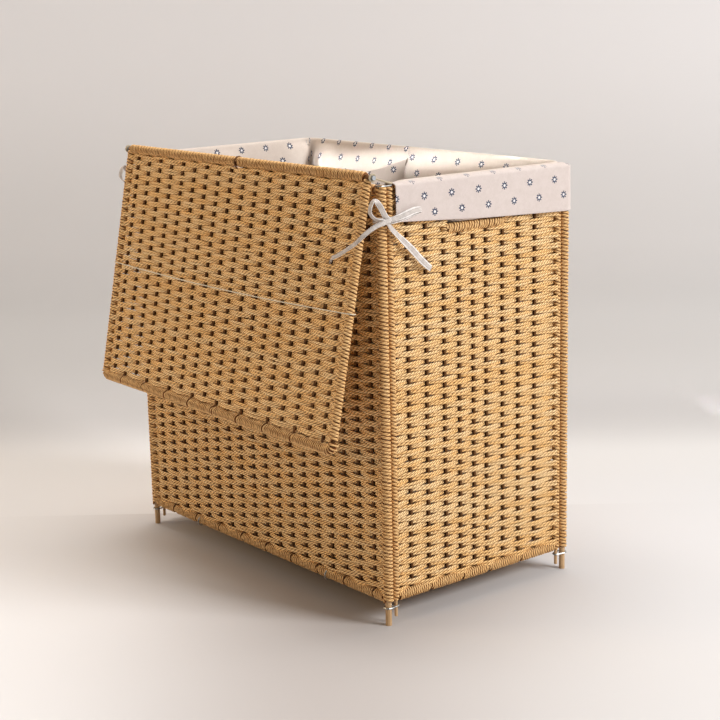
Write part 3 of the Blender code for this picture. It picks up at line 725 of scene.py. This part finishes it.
def cottonMaterial(look, name):
    material, tree, shader = newMaterial(name)
    uv, u, v = splitUv(tree)
    place = objectCoords(tree)
    weaves = []
    for scale in ((300, 2600, 1), (2600, 300, 1)):
        stretch = tree.nodes.new("ShaderNodeMapping")
        stretch.inputs["Scale"].default_value = scale
        weaves.append(noiseNode(tree, feed(tree, stretch, {"Vector": uv}), 1.0, 2))
    threads = times(tree, plus(tree, *weaves), 0.5)
    blotch = noiseNode(tree, place, 90, 4, 0.7)
    mixed = plus(tree, times(tree, threads, 0.65), times(tree, blotch, 0.35))
    base = rampNode(tree, mixed, ((0.36, look["slub"]), (0.62, look["cloth"])))
    # Place within one flower's cell of the lattice, across, down and out from its middle
    down = mathNode(tree, "DIVIDE", v, -look["stepDown"])
    over = mathNode(tree, "DIVIDE", minus(tree, u, times(tree, down, look["stepAside"])), look["stepAlong"])
    over, down = (minus(tree, value, mathNode(tree, "ROUND", value)) for value in (over, down))
    dx = plus(tree, times(tree, over, look["stepAlong"]), times(tree, down, look["stepAside"]))
    dy = times(tree, down, -look["stepDown"])
    wander = times(tree, minus(tree, noiseNode(tree, place, 500, 2), 0.5), look["wander"])
    radius = mathNode(tree, "SQRT", plus(tree, times(tree, dx, dx), times(tree, dy, dy)))
    radius = plus(tree, radius, wander)
    rays = mathNode(tree, "COSINE", times(tree, mathNode(tree, "ARCTAN2", dy, dx), look["rays"]))
    above = mathNode(tree, "GREATER_THAN", v, look["lowest"])
    centre = times(tree, mathNode(tree, "LESS_THAN", radius, look["ring"]), 0.6)
    base = mixNode(tree, times(tree, centre, above), base, look["centre"])
    ring = mathNode(tree, "COMPARE", radius, look["ring"], look["ringHalf"])
    inRays = times(tree, mathNode(tree, "GREATER_THAN", rays, 0.0), mathNode(
        tree, "COMPARE", radius, (look["ring"] + look["rayEnd"]) / 2, (look["rayEnd"] - look["ring"]) / 2))
    ink = times(tree, mathNode(tree, "MAXIMUM", ring, inRays), plus(tree, times(tree, threads, 0.5), 0.75))
    ink = times(tree, mathNode(tree, "MINIMUM", ink, 1.0), above)
    # Painted highlight: the ink pales towards the top of each row
    ink = times(tree, ink, fadeNode(tree, times(tree, v, 10), look["inkHighlightFrom"], look["inkHighlightFrom"] + 0.08, 1, 0.4))
    clothFinish(tree, shader, mixNode(tree, ink, base, look["print"]), threads, 0.35, 0.5 * mm, 0.92, 0.15)
    return material


printedCotton = cottonMaterial(cottonLook, "cotton_printed")
linerCotton = cottonMaterial(dict(cottonLook, cloth=(0.68, 0.58, 0.51), slub=(0.60, 0.50, 0.43),
                                  lowest=-1.0), "cotton_liner")

# Folded tape, its edges paler past a line of stitches
tapeLook = {
    "cloth": (0.63, 0.56, 0.515), "edge": (0.86, 0.80, 0.76), "edgeFrom": 2.0 * mm, "edgeTo": 2.7 * mm,
    "stitch": (0.24, 0.185, 0.16), "stitchAt": 2.3 * mm, "stitchHalf": 0.28 * mm, "stitchTurns": 2600,
}


def tapeMaterial(look):
    material, tree, shader = newMaterial("cotton_tape")
    along, across = splitUv(tree)[1:]
    place = objectCoords(tree)
    side = mathNode(tree, "ABSOLUTE", across)
    edge = fadeNode(tree, times(tree, side, 100), 100 * look["edgeFrom"], 100 * look["edgeTo"])
    base = mixNode(tree, edge, look["cloth"], look["edge"])
    wave = mathNode(tree, "SINE", times(tree, along, look["stitchTurns"]))
    stitch = times(tree, mathNode(tree, "COMPARE", side, look["stitchAt"], look["stitchHalf"]),
                   mathNode(tree, "GREATER_THAN", wave, -0.6))
    base = mixNode(tree, times(tree, stitch, 0.75), base, look["stitch"])
    shade = fadeNode(tree, noiseNode(tree, place, 160, 3), 0.35, 0.65, 0.78, 1)
    clothFinish(tree, shader, mixNode(tree, 1.0, base, shade, "MULTIPLY"), noiseNode(tree, place, 900, 2),
                0.4, 0.4 * mm, 0.9)
    return material


tapeCotton = tapeMaterial(tapeLook)


def softNoise(u, v, seed):
    # Smooth folds from a few summed waves, so each run gives the same cloth
    local = np.random.default_rng(seed)
    total = np.zeros(np.broadcast(u, v).shape)
    for octave in range(3):
        for _ in range(3):
            ku, kv = local.uniform(6, 22, 2) * 1.7 ** octave
            total = total + np.sin(ku * u + local.uniform(0, 6.28)) * np.cos(
                kv * v + local.uniform(0, 6.28)) / 1.8 ** octave
    return total / 3


seamLook = ((0.20, 0.145, 0.11), (0.34, 0.26, 0.20))
seamThread = paintedWireMaterial("seam_thread", *seamLook)[0]
bagFacts = {
    "halfX": 284.2 * mm, "halfY": 156.2 * mm, "bend": 9 * mm, "floor": 46.5 * mm, "top": 596 * mm,
    "fold": 3.2 * mm, "columns": 260, "rows": 50, "backLean": 7 * mm,
    # Where the cloth goes over the rim: how far outside the wall, at which height
    "lip": ((11.5, 600.4), (9.5, 602.2), (7.5, 602.5), (6.0, 601.2), (5.0, 598.8), (4.1, 595.5), (3.2, 591),
            (2.4, 586), (1.6, 579), (0.8, 570), (0.2, 558)),
    # Heights below the lip, close together where the hand holes' bulge starts
    "levels": (549, 544, 541.5, 539.5, 538.1, 534, 526),
    # Darts: wall, first end and last end (along the wall, height), depth, widths before and beyond
    "darts": (("left", (147, 604), (121, 545), 17, (38, 20)), ("left", (-20, 600), (30, 530), 5, (40, 20)),
              ("back", (-243, 604), (-226, 540), 15, (34, 26)),
              ("back", (-60, 595), (-110, 500), 5, (30, 22)),
              ("back", (30, 590), (70, 500), 5, (20, 20)), ("back", (215, 596), (190, 545), 7, (10, 12))),
    "dartReach": 1.6, "bulge": 18.5 * mm, "bulgeMiddle": -6 * mm, "bulgeHalf": 47 * mm,
    "bulgeLow": 538.2 * mm, "bulgeHigh": 572 * mm, "lipFrom": -148 * mm, "lipFade": 12 * mm,
    # Where the print starts anew: the place of its zero and its stretch, and its top row's height
    "backBreak": -30 * mm, "farBackPrint": (-252.2 * mm, 48 / 42.4), "backPrint": (31.5 * mm, 48 / 52),
    "leftPrint": 17.8 * mm, "farBackRow": 600 * mm, "backRow": 588 * mm, "sideRow": 592.5 * mm,
    "seamWide": 1.6 * mm, "seamThick": 1.4 * mm,
}


def roundedPath(halfX, halfY, bend, count):
    # Even points round a rounded rectangle, anticlockwise from the right side's middle, facing inwards
    start = np.array(((halfX, 0, -1, 0),), float)
    corners = np.array([(x, y, -math.cos(angle), -math.sin(angle))
                        for x, y, angle in roundedCorners(halfX, halfY, bend)])
    corners = np.concatenate((start, corners, start))
    place = pathPlaces(corners[:, :2])
    s = np.linspace(0, place[-1], count, endpoint=False)
    return np.stack([np.interp(s, place, corners[:, i]) for i in range(4)], -1), s, place[-1]


def dartPush(facts, x, y, height, onBack, onLeft):
    push = np.zeros(len(x))
    for wall, first, last, depth, wide in facts["darts"]:
        place, here = (x, onBack) if wall == "back" else (y, onLeft)
        share = (first[1] * mm - height) / ((first[1] - last[1]) * mm)
        if 0 <= share <= facts["dartReach"]:
            line = (first[0] + (last[0] - first[0]) * share) * mm
            fade = math.sin(math.pi * min(1, share / facts["dartReach"] + 0.05)) ** 0.7
            beyond = (place - line) / (wide[1] * mm)
            before = np.clip(1 - (line - place) / (wide[0] * mm), 0, 1) ** 1.2
            push += here * depth * mm * fade * np.where(place > line, np.exp(-beyond ** 2), before)
    return push


def buildBag():
    facts = bagFacts
    top, floor = facts["top"], facts["floor"]
    outline, along, around = roundedPath(facts["halfX"], facts["halfY"], facts["bend"], facts["columns"])
    x, y, inX, inY = outline.T
    onBack, onLeft, onEnds = inY < -0.7, (inX > 0.7) & (x < 0), np.abs(inX) > 0.7
    lipHere = np.clip((y - facts["lipFrom"]) / facts["lipFade"], 0, 1)
    backHere = np.clip((facts["halfX"] - np.abs(x)) / (30 * mm), 0, 1)
    levels = [(off * mm, z * mm) for off, z in facts["lip"]] + [(0, z * mm) for z in facts["levels"]]
    levels += [(0, z) for z in np.linspace(facts["lip"][-1][1] * mm - 44 * mm, floor, facts["rows"])]
    farBack = onBack & (x < facts["backBreak"])
    leftStart = along[np.argmin(np.abs(y - facts["leftPrint"]) + (x > 0))]
    (farZero, farStretch), (backZero, backStretch) = facts["farBackPrint"], facts["backPrint"]
    u = np.where(farBack, (x - farZero) * farStretch,
                 np.where(onBack, (x - backZero) * backStretch, along - leftStart))
    rowStart = np.where(farBack, facts["farBackRow"], np.where(onBack, facts["backRow"], facts["sideRow"]))
    points, flat = [], []
    for off, height in levels:
        down = max(0, top - height)
        fold = softNoise(along, np.full_like(along, down * 0.5), 3) * 0.8 + 0.6
        inward = np.clip(fold, 0, 1.6) * facts["fold"] * min(1, down / (60 * mm))
        inward *= min(1, (height - floor) / (40 * mm) + 0.1)
        inward += dartPush(facts, x, y, height, onBack, onLeft) * min(1, down / (8 * mm))
        # Pressed into the hand holes
        gap = np.clip(1 - np.abs(y - facts["bulgeMiddle"]) / facts["bulgeHalf"], 0, 1) ** 0.3 * onEnds
        rise = min(1, max(0, (height - facts["bulgeLow"]) / (1.2 * mm)))
        inward -= facts["bulge"] * gap * rise * min(1, max(0, (facts["bulgeHigh"] - height) / (20 * mm)))
        lean = (1 - math.cos(math.pi * min(1, down / (34 * mm)))) / 2
        inward += facts["backLean"] * onBack * lean * backHere
        inward -= off * lipHere
        z = np.where(height > top, top + (height - top) * lipHere, height)
        points.append(np.stack((x + inX * inward, y + inY * inward + middleY, z), -1))
        flat.append(np.stack((u, height - rowStart), -1))
    for share in (0.97, 0.8, 0.5, 0.2, 0.02):
        z = np.full_like(along, floor) + 0.6 * mm * (1 - share)
        points.append(np.stack((x * share, y * share + middleY, z), -1))
        flat.append(np.stack((x * share, y * share), -1))
    points, flat = np.array(points), np.array(flat)
    flat = np.concatenate((flat, flat[:, :1] + np.array((around, 0))), axis=1)
    bag = clothSheet("liner_bag_cloth", points, flat, linerCotton, closed=True, offset=1)
    dress(bag, "basket", "liner_bag")
    # A seam down each corner
    runs = []
    corner = 0.293 * facts["bend"] + 0.9 * mm
    for sx in (-1, 1):
        for sy in (-1, 1):
            z = np.linspace(594 * mm if sy > 0 else 590 * mm, floor + 6 * mm, 30)
            path = np.stack((np.full(30, sx * (facts["halfX"] - corner)),
                             np.full(30, sy * (facts["halfY"] - corner) + middleY), z), -1)
            runs.append({"path": path, "out": np.tile((-sx, -sy, 0.0), (30, 1)),
                         "width": facts["seamWide"], "thick": facts["seamThick"]})
    dress(ropeTubes("liner_corner_seams", runs, seamThread), "basket", "liner_bag")
    print("bag hung")


buildBag()

dividerFacts = {
    "place": -38 * mm, "halfY": 155 * mm, "top": 588 * mm, "sag": 22 * mm, "floor": 48.5 * mm,
    "fold": 2.2 * mm, "slant": 9 * mm, "seamLow": 400 * mm, "seamWide": 1.8 * mm, "seamThick": 1.4 * mm,
}


def buildDivider():
    facts = dividerFacts
    ys = np.linspace(-facts["halfY"], facts["halfY"], 80)
    share = ys / facts["halfY"]
    edge = facts["top"] - facts["sag"] * (1 - share ** 2)
    points, flat = [], []
    for level in np.linspace(0, 1, 50):
        z = edge + (facts["floor"] - edge) * level
        loose = np.sin(math.pi * np.clip(level * 1.1 + 0.05, 0, 1)) * (1 - share ** 6)
        fold = softNoise(ys, z * 0.5, 11) * facts["fold"] * loose
        slant = facts["slant"] * np.clip(share, 0, 1) ** 2 * (1 - level)
        points.append(np.stack((facts["place"] + slant + fold, ys + middleY, z), -1))
        flat.append(np.stack((ys - 127 * mm, z - 571 * mm), -1))
    cloth = clothSheet("liner_divider_cloth", np.array(points), np.array(flat), linerCotton)
    dress(cloth, "basket", "liner_divider")
    # The seam where it meets the back wall
    z = np.linspace(facts["top"] - 1 * mm, facts["seamLow"], 40)
    lean = np.clip((facts["top"] - z) / (30 * mm), 0, 1)
    path = np.stack((facts["place"] + 10.5 * mm - (facts["top"] - z) * 0.19,
                     facts["halfY"] - 2 * mm - 9.5 * mm * lean + middleY, z), -1)
    seam = {"path": path, "out": np.tile((1.0, -1.0, 0.0), (40, 1)),
            "width": facts["seamWide"], "thick": facts["seamThick"]}
    dress(ropeTubes("liner_divider_seam", [seam], seamThread), "basket", "liner_divider")
    print("divider hung")


buildDivider()

# The cuff: its skirt's hem by place along the side walls (mm from the middle, height)
cuffFacts = {
    "outside": 8.6 * mm, "inside": 10.1 * mm, "top": 601.4 * mm, "endY": -150 * mm, "columns": 260,
    "skirt": ((-150, 551.2), (-94, 547.2), (-12, 541.2), (59, 538), (118, 535.7), (168, 534.3)),
    "fold": 4.5 * mm, "wave": 1.5 * mm, "sag": 0.9 * mm,
}


def buildCuff():
    # A U seen from above: up the right side from its front end, along the back, down the left side
    facts = cuffFacts
    halfY, top = basket["halfY"], facts["top"]
    route = [(half, facts["endY"], 1, 0)]
    for corner, start in ((half, 0), (-half, math.pi / 2)):
        for a in np.linspace(start, start + math.pi / 2, 7):
            route.append((corner, halfY, math.cos(a), math.sin(a)))
    route = np.array(route + [(-half, facts["endY"], -1, 0)], float)
    outer = route[:, :2] + route[:, 2:] * facts["outside"]
    place = pathPlaces(outer)
    s = np.linspace(0, place[-1], facts["columns"])
    x, y, nx, ny = (np.interp(s, place, route[:, i]) for i in range(4))
    size = np.hypot(nx, ny)
    nx, ny = nx / size, ny / size
    # The skirt hangs a little lower towards the back
    heights = np.array(facts["skirt"]) * mm
    skirtHere = np.interp(y, heights[:, 0], heights[:, 1])
    skirt = skirtHere.min()
    profile = [(facts["outside"], z) for z in np.linspace(skirt, top - 4 * mm, 14)]
    across = (facts["outside"] + facts["inside"]) / 2
    middle = (facts["outside"] - facts["inside"]) / 2
    for a in np.linspace(0.25, 0.62 * math.pi, 7):
        profile.append((middle + across * math.cos(a) * 0.985,
                        top - facts["fold"] + facts["fold"] * math.sin(a)))
    profile = np.array(profile)
    points, flat = [], []
    for off, z in profile:
        hang, printed = np.full_like(s, z), 2 * top - z
        wave, sag = 0 * s, softNoise(s * 0.6, np.zeros_like(s), 5) * facts["sag"]
        if off > 0:
            if z < top - 3.9 * mm:
                hang = top - (top - z) * (top - skirtHere) / (top - skirt)
            low = np.clip((top - z) / (top - skirt), 0, 1)
            wave = softNoise(s * 0.9, np.full_like(s, z * 0.4), 21) * facts["wave"] * low
            printed = hang
        else:
            sag = sag * 0.4
        out = off + np.abs(wave)
        points.append(np.stack((x + nx * out, y + ny * out + middleY, hang + sag), -1))
        flat.append(np.stack((s - 48.5 * mm, printed + 0 * s - 580.8 * mm), -1))
    cloth = clothSheet("liner_cuff_cloth", np.array(points), np.array(flat), printedCotton)
    dress(cloth, "basket", "liner_cuff")
    print("cuff folded over the rim")


buildCuff()

# String tied once round the lid; between the sides it sags on the outer face
stringFacts = {
    "height": -176 * mm, "sag": 5 * mm, "off": 6.9 * mm, "thick": 1.6 * mm, "lay": 5 * mm,
    "dark": (0.42, 0.33, 0.22), "light": (0.78, 0.68, 0.52),
}


def stringMaterial(look):
    material, tree, shader = newMaterial("twine_pale")
    around, along = splitUv(tree)[1:]
    turn = times(tree, minus(tree, around, along), math.pi * 2)
    turn = mathNode(tree, "ABSOLUTE", mathNode(tree, "SINE", turn))
    # Painted shade: the twine's colour is darker in the grooves of its twist
    feed(tree, shader, {"Base Color": rampNode(tree, turn, ((0.0, look["dark"]), (0.6, look["light"]))),
                        "Roughness": 0.8, "Normal": bumpNode(tree, turn, 0.6, 0.3 * mm)})
    return material


def buildString():
    side, facts = panels["lid"], stringFacts
    lidHalf, off = basket["lidHalf"], facts["off"]
    xs = np.linspace(-lidHalf, lidHalf, 60)
    front = facts["height"] - facts["sag"] * (1 - (xs / lidHalf) ** 2)
    turn = np.linspace(0, math.pi, 12)[1:-1]
    x = np.concatenate((xs, lidHalf + off * np.sin(turn), xs[::-1], -lidHalf - off * np.sin(turn)))
    d = np.concatenate((np.full(60, off), off * np.cos(turn), np.full(60, -off), -off * np.cos(turn)))
    z = np.concatenate((front, np.full(80, facts["height"])))
    x, d, z = (np.append(values, values[0]) for values in (x, d, z))
    path = onPanel(side, x, d, z)
    out = np.cross(np.gradient(path, axis=0), np.tile(side["up"], (len(path), 1)))
    run = {"path": path, "out": out, "width": facts["thick"], "thick": facts["thick"]}
    piece = ropeTubes("lid_twine", [run], stringMaterial(facts), lead=facts["lay"])
    dress(piece, "lid", "lid_string")
    print("string tied")


buildString()


# Bows: a tape of folded cotton round each hinge corner, tied outside it. The points are in mm from the
# basket's middle, for the right bow, each with the way that the tape faces there
bowFacts = {
    "width": 7.4 * mm, "thick": 1.0 * mm, "knotThick": 0.8 * mm, "tailWidth": 6.0 * mm, "thread": 0.45 * mm,
    "postX": 295, "postY": -167, "bandRadius": 8.1, "knotX": 307.6, "knotZ": 555.0,
    "knotWide": 4.1, "knotTall": 4.6, "knotLong": 10,
    "upperLoop": (
        (309, -167.5, 556.5, 0.76, -0.63, 0.14), (310, -174.5, 564, 0.8, -0.55, 0.2),
        (310, -179.6, 572.8, 0.75, -0.6, 0.3), (309, -185, 580.3, 0.6, -0.6, 0.5),
        (308, -189.5, 583.2, 0.2, -0.6, 0.8), (307, -193.3, 577.4, -0.1, -1, 0.1),
        (307, -195.6, 569, -0.1, -1, 0), (308, -191.4, 562, 0.2, -0.8, -0.6),
        (309, -182.9, 557.6, 0.4, -0.5, -0.8), (309, -171, 555, 0.5, -0.5, -0.7)),
    "sideLoop": (
        (310, -164, 556, 1, -0.2, 0.1), (311.3, -149, 558.9, 1, -0.1, 0.1), (311.2, -136, 562, 1, 0, 0.1),
        (310.8, -124, 564.6, 1, 0, 0), (309.8, -114.5, 564.9, 0.9, 0.4, 0), (308.3, -110.6, 563.8, 0, 1, 0),
        (307.0, -114, 562, -0.9, 0.4, 0), (306.7, -124.8, 560, -1, 0, 0), (306.8, -138.6, 556.6, -1, 0, 0),
        (307.2, -153, 553.9, -1, 0, 0), (308, -163, 553.6, -1, 0, 0)),
    "sideLoopWidths": (6, 8, 9.5, 9.5, 6.5, 7.5, 8, 7, 6),
    "sideTail": (
        (307.5, -167, 552.5, 1, -0.2, 0.2), (306.8, -159.6, 543.4, 1, 0.1, 0.2),
        (306, -148.6, 533.6, 1, 0.2, 0.2), (306.6, -136.2, 522.3, 1, 0, 0.1),
        (306.2, -123.4, 511, 1, -0.1, 0), (305.6, -110.8, 498.8, 1, 0, 0),
        (306, -100.2, 489.2, 1, 0.1, 0), (306.4, -93.5, 484, 1, 0.1, 0.1)),
    "sideTailWidths": (5.5, 8.0, 9.6, 9.6, 9.0),
    "tails": {
        "right": ("loose", (
            (311.5, -164, 557.5, 0.9, -0.4, 0.2), (312.6, -173, 554.6, 0.8, -0.6, 0.1),
            (310.5, -189, 550.5, 0.65, -0.75, 0.1), (307.8, -201.5, 543.4, 0.5, -0.8, 0.3),
            (302.5, -208.2, 536, 0.45, -0.75, 0.45), (293.9, -210.1, 528.7, 0.42, -0.72, 0.52),
            (282.4, -211.4, 522, 0.42, -0.72, 0.52), (270.9, -212.7, 515.2, 0.42, -0.72, 0.52),
            (259.1, -213.9, 509.4, 0.4, -0.75, 0.5), (249.8, -214.4, 505.8, 0.3, -0.85, 0.4))),
        "left": ("hanging", (
            (306, -170, 550, 1, 0, 0), (305.4, -172.8, 541, 1, 0, 0), (305.3, -173.2, 530, 1, 0.1, 0),
            (305.5, -172.4, 518, 1, 0.1, 0), (305.3, -170.6, 506, 1, 0, 0), (305.6, -168.6, 495, 1, 0, 0))),
    },
}


def smoothPath(points, count):
    # A curve through every point, even along its length
    points = np.array(points, float)
    for _ in range(4):
        finer = [points[0]]
        for i in range(len(points) - 1):
            before, after = points[max(i - 1, 0)], points[min(i + 2, len(points) - 1)]
            finer += [(9 * (points[i] + points[i + 1]) - before - after) / 16, points[i + 1]]
        points = np.array(finer)
    place = pathPlaces(points[:, :3])
    s = np.linspace(0, place[-1], count)
    return np.stack([np.interp(s, place, points[:, i]) for i in range(points.shape[1])], -1), s


def tapeRun(name, points, width=bowFacts["width"], cup=0.5 * mm, count=48):
    path, s = smoothPath(points, count)
    centre, face = path[:, :3], path[:, 3:]
    ahead = unit(np.gradient(centre, axis=0))
    across = unit(np.cross(ahead, face))
    face = np.cross(across, ahead)
    if isinstance(width, tuple):
        width = np.interp(np.linspace(0, 1, count), np.linspace(0, 1, len(width)), width) * mm
    grid, flat = [], []
    for share in (-0.5, -0.42, -0.2, 0, 0.2, 0.42, 0.5):
        ripple = 0.25 * mm * np.sin(s * 260 + share * 4)
        bow = cup * (1 - (2 * share) ** 2) + ripple
        grid.append(centre + across * np.reshape(share * width, (-1, 1)) + face * bow[:, None])
        flat.append(np.stack((s, np.full_like(s, share) * width), -1))
    return clothSheet(name, np.array(grid), np.array(flat), tapeCotton, bowFacts["thick"]), centre


def buildKnot(name, side, facts):
    # A lump of tape with creases, tight in the middle
    angles = np.linspace(0, 2 * math.pi, 20, endpoint=False)
    long = facts["knotLong"]
    grid, flat = [], []
    for share in (-0.5, -0.47, -0.36, -0.18, 0, 0.18, 0.36, 0.47, 0.5):
        swell = math.sqrt(max(0.02, 1 - (2 * share) ** 4)) * (0.9 + 0.35 * abs(share))
        swell = swell * (1 + 0.07 * np.sin(3 * angles + 5 * share) + 0.05 * np.sin(7 * angles))
        ring = np.stack((side * (facts["knotX"] + facts["knotWide"] * swell * np.cos(angles)),
                         facts["postY"] - 1 + long * share + 0 * angles,
                         facts["knotZ"] + facts["knotTall"] * swell * np.sin(angles)), -1) * mm
        grid.append(ring + np.array((0, middleY, 0)))
        flat.append(np.stack((angles * 4.5 * mm, np.full_like(angles, long * mm * share)), -1))
    grid, flat = np.array(grid), np.array(flat)
    flat = np.concatenate((flat, flat[:, :1] + np.array((28 * mm, 0))), axis=1)
    return clothSheet(name, grid, flat, tapeCotton, facts["knotThick"], closed=True)


def hangTail(tail, path, node, diameter, lay, **other):
    dress(tail, "basket", node)


def buildBow(hand, side):
    facts = bowFacts
    node, knotZ = "bow_" + hand, facts["knotZ"]

    def at(rows):
        rows = np.array(rows, float)
        rows[:, :3] *= mm
        rows[:, 1] += middleY
        rows[:, 0] *= side
        rows[:, 3] *= side
        return rows

    band = [(287.5, -175.1, knotZ, 0, -1, 0)]
    for a in np.linspace(-math.pi / 2, 0, 5):
        band.append((facts["postX"] + facts["bandRadius"] * math.cos(a),
                     facts["postY"] + facts["bandRadius"] * math.sin(a), knotZ, math.cos(a), math.sin(a), 0))
    band += [(303.2, -160, knotZ, 1, 0, 0), (303.4, -154.5, knotZ, 1, 0, 0)]
    for piece in (tapeRun(node + "_band", at(band), cup=0)[0],
                  tapeRun(node + "_upper_loop", at(facts["upperLoop"]))[0],
                  tapeRun(node + "_side_loop", at(facts["sideLoop"]), facts["sideLoopWidths"])[0],
                  buildKnot(node + "_knot", side, facts)):
        dress(piece, "basket", node)
    tail, path = tapeRun(node + "_side_tail", at(facts["sideTail"]), facts["sideTailWidths"])
    hangTail(tail, path, node, facts["width"], "hanging")
    lay, rows = facts["tails"][hand]
    tail, path = tapeRun(node + "_tail_tape", at(rows), facts["tailWidth"])
    # Loose threads where the tape was cut
    runs = []
    down = (path[-1] - path[-2]) / np.linalg.norm(path[-1] - path[-2])
    curl = np.linspace(0, 1, 6)
    for thread in range(7):
        start = path[-1] + np.cross(down, (0, -1, 0.2)) * (thread - 3) * 0.9 * mm
        drop = rng.uniform(2.5, 8) * mm
        spots = start + np.outer(curl, down) * drop * 0.6 + np.outer(curl ** 2, (0, 0, -1)) * drop * 0.7
        spots[:, 0] += 0.8 * mm * np.sin(curl * 3 + thread)
        runs.append({"path": spots, "out": np.tile((0, -1, 0.01), (6, 1)),
                     "width": facts["thread"], "thick": facts["thread"]})
    fray = ropeTubes(node + "_frayed_threads", runs, tapeCotton, sides=4)
    dress(fray, "basket", "bow_tail_" + hand)
    hangTail(tail, path, "bow_tail_" + hand, facts["tailWidth"], lay, with_pieces=[fray])


buildBow("right", 1)
buildBow("left", -1)
print("bows tied")


# Floor and backdrop: one sweep whose colour darkens behind the basket and towards the right, as painted shade
stageFacts = {
    # Colours by metres from the basket's middle, along the floor and then up the wall; the darker band round
    # the bend is painted shade
    "sweep": ((-0.01, (0.84, 0.82, 0.82)), (0.50, (0.81, 0.79, 0.78)), (0.80, (0.55, 0.53, 0.525)),
              (0.98, (0.54, 0.52, 0.51)), (1.13, (0.57, 0.55, 0.54)), (1.28, (0.67, 0.645, 0.635)),
              (1.70, (0.77, 0.74, 0.735))),
    "rightFrom": -0.35, "rightFull": 0.45, "rightShade": 0.80,
    "wallFrom": 0.55, "wallFull": 0.95, "wallShade": (0.97, 0.97, 0.97),
    "pool": (0.40, 0.355, 0.335), "poolShare": 0.72, "poolNarrow": 3.4, "poolEnd": -0.2,
    "floorStops": (-6.0, -2.0, 0.0), "wallDistance": 0.62, "bend": 0.30, "bendSteps": 12,
    "wide": 6.0, "high": 4.0, "below": 0.05 * mm,
}


def stageMaterial(facts, ahead, right):
    material, tree, shader = newMaterial("backdrop_pale")
    x, y, z = splitVector(tree, objectCoords(tree))
    # Sideways and nearer distances from the basket's middle, along the floor
    sideways = plus(tree, times(tree, x, right.x), times(tree, y, right.y))
    nearer = plus(tree, times(tree, x, -ahead.x), times(tree, y, -ahead.y))
    run = minus(tree, z, nearer)
    # A ramp holds 0 to 1, so the distances are moved and scaled into that
    stops = [((metres + 1) / 3, colour) for metres, colour in facts["sweep"]]
    sweep = rampNode(tree, mathNode(tree, "DIVIDE", plus(tree, run, 1.0), 3.0), stops, True)
    # Painted shade: the floor darkens towards the right
    rightward = fadeNode(tree, plus(tree, sideways, 0.5), facts["rightFrom"] + 0.5,
                         facts["rightFull"] + 0.5, 1, facts["rightShade"], True)
    onWall = fadeNode(tree, run, facts["wallFrom"], facts["wallFull"], smooth=True)
    sweep = mixNode(tree, 1.0, sweep, mixNode(tree, onWall, rightward, facts["wallShade"]), "MULTIPLY")
    # A painted shadow under the basket and in front of it
    narrow = times(tree, mathNode(tree, "ABSOLUTE", sideways), facts["poolNarrow"])
    pool = mathNode(tree, "POWER", 2.718, times(tree, mathNode(tree, "POWER", narrow, 2.0), -1.0))
    pool = times(tree, pool, mathNode(tree, "GREATER_THAN", nearer, facts["poolEnd"]))
    colour = mixNode(tree, times(tree, pool, facts["poolShare"]), sweep, facts["pool"])
    feed(tree, shader, {"Base Color": colour, "Roughness": 0.85, "Specular IOR Level": 0.1})
    # Seen from behind or below, the sweep is clear, so every side of the basket can be looked at
    behind = times(tree, tree.nodes.new("ShaderNodeNewGeometry").outputs["Backfacing"],
                   tree.nodes.new("ShaderNodeLightPath").outputs["Is Camera Ray"])
    both = feed(tree, tree.nodes.new("ShaderNodeMixShader"), {
        0: behind, 1: shader.outputs[0], 2: tree.nodes.new("ShaderNodeBsdfTransparent").outputs[0]})
    tree.links.new(both, tree.nodes["Material Output"].inputs[0])
    return material


def buildStage(facts):
    yaw = math.radians(cameraFacts["yaw"])
    ahead = Vector((math.cos(yaw), math.sin(yaw), 0))
    right = Vector((math.sin(yaw), -math.cos(yaw), 0))
    start, bend = facts["wallDistance"], facts["bend"]
    profile = [(away, 0.0) for away in facts["floorStops"]]
    for a in np.linspace(0, math.pi / 2, facts["bendSteps"] + 1):
        profile.append((start + bend * math.sin(a), bend - bend * math.cos(a)))
    profile.append((start + bend, facts["high"]))
    verts = []
    for away, high in profile:
        for sideways in (-facts["wide"], facts["wide"]):
            spot = ahead * away + right * sideways
            verts.append((spot.x, spot.y + middleY, high - facts["below"]))
    faces = [(2 * i, 2 * i + 1, 2 * i + 3, 2 * i + 2) for i in range(len(profile) - 1)]
    mesh = bpy.data.meshes.new("backdrop")
    mesh.from_pydata(verts, [], faces)
    mesh.shade_smooth()
    mesh.materials.append(stageMaterial(facts, ahead, right))
    addObject("backdrop", mesh)


buildStage(stageFacts)

# A key from the right and behind, a broad lamp overhead, a warm fill from the front left, and a thin beam
# over the front rim onto the liner's back wall: place, aim, size, power, colour and spread
lampFacts = {
    "key": ((4.6, 2.3, 3.2), (0, 0, 0.3), (2.0, 2.0), 300, (0.96, 0.985, 1.0), 180),
    "overhead": ((-1.0, 0.5, 4.4), (0, 0, 0.2), (3.0, 3.0), 180, (1.0, 0.96, 0.91), 180),
    "fill": ((-3.0, -3.2, 1.8), (0, 0, 0.3), (1.6, 1.6), 52, (1.0, 0.75, 0.44), 180),
    "inside": ((0.16, -0.50, 1.09), (0.0, 0.196, 0.588), (0.53, 0.015), 0.09, (0.88, 0.96, 1.0), 4),
}
worldFacts = {"colour": (1.0, 0.97, 0.92), "strength": 0.28}


def addLight(name, place, aim, size, power, colour, spread):
    data = bpy.data.lights.new(name, "AREA")
    data.shape = "RECTANGLE"
    data.size, data.size_y = size
    data.energy = power
    data.color = colour
    data.spread = math.radians(spread)
    light = addObject(name, data)
    light.location = place
    light.rotation_euler = (Vector(aim) - Vector(place)).to_track_quat("-Z", "Y").to_euler()


for lamp, lampValues in lampFacts.items():
    addLight(lamp, *lampValues)
world = bpy.data.worlds.new("studio")
world.use_nodes = True
sky = world.node_tree.nodes["Background"]
feed(world.node_tree, sky, {0: worldFacts["colour"], 1: worldFacts["strength"]})
bpy.context.scene.world = world
bpy.context.scene.view_settings.view_transform = "Standard"
print("stage lit")
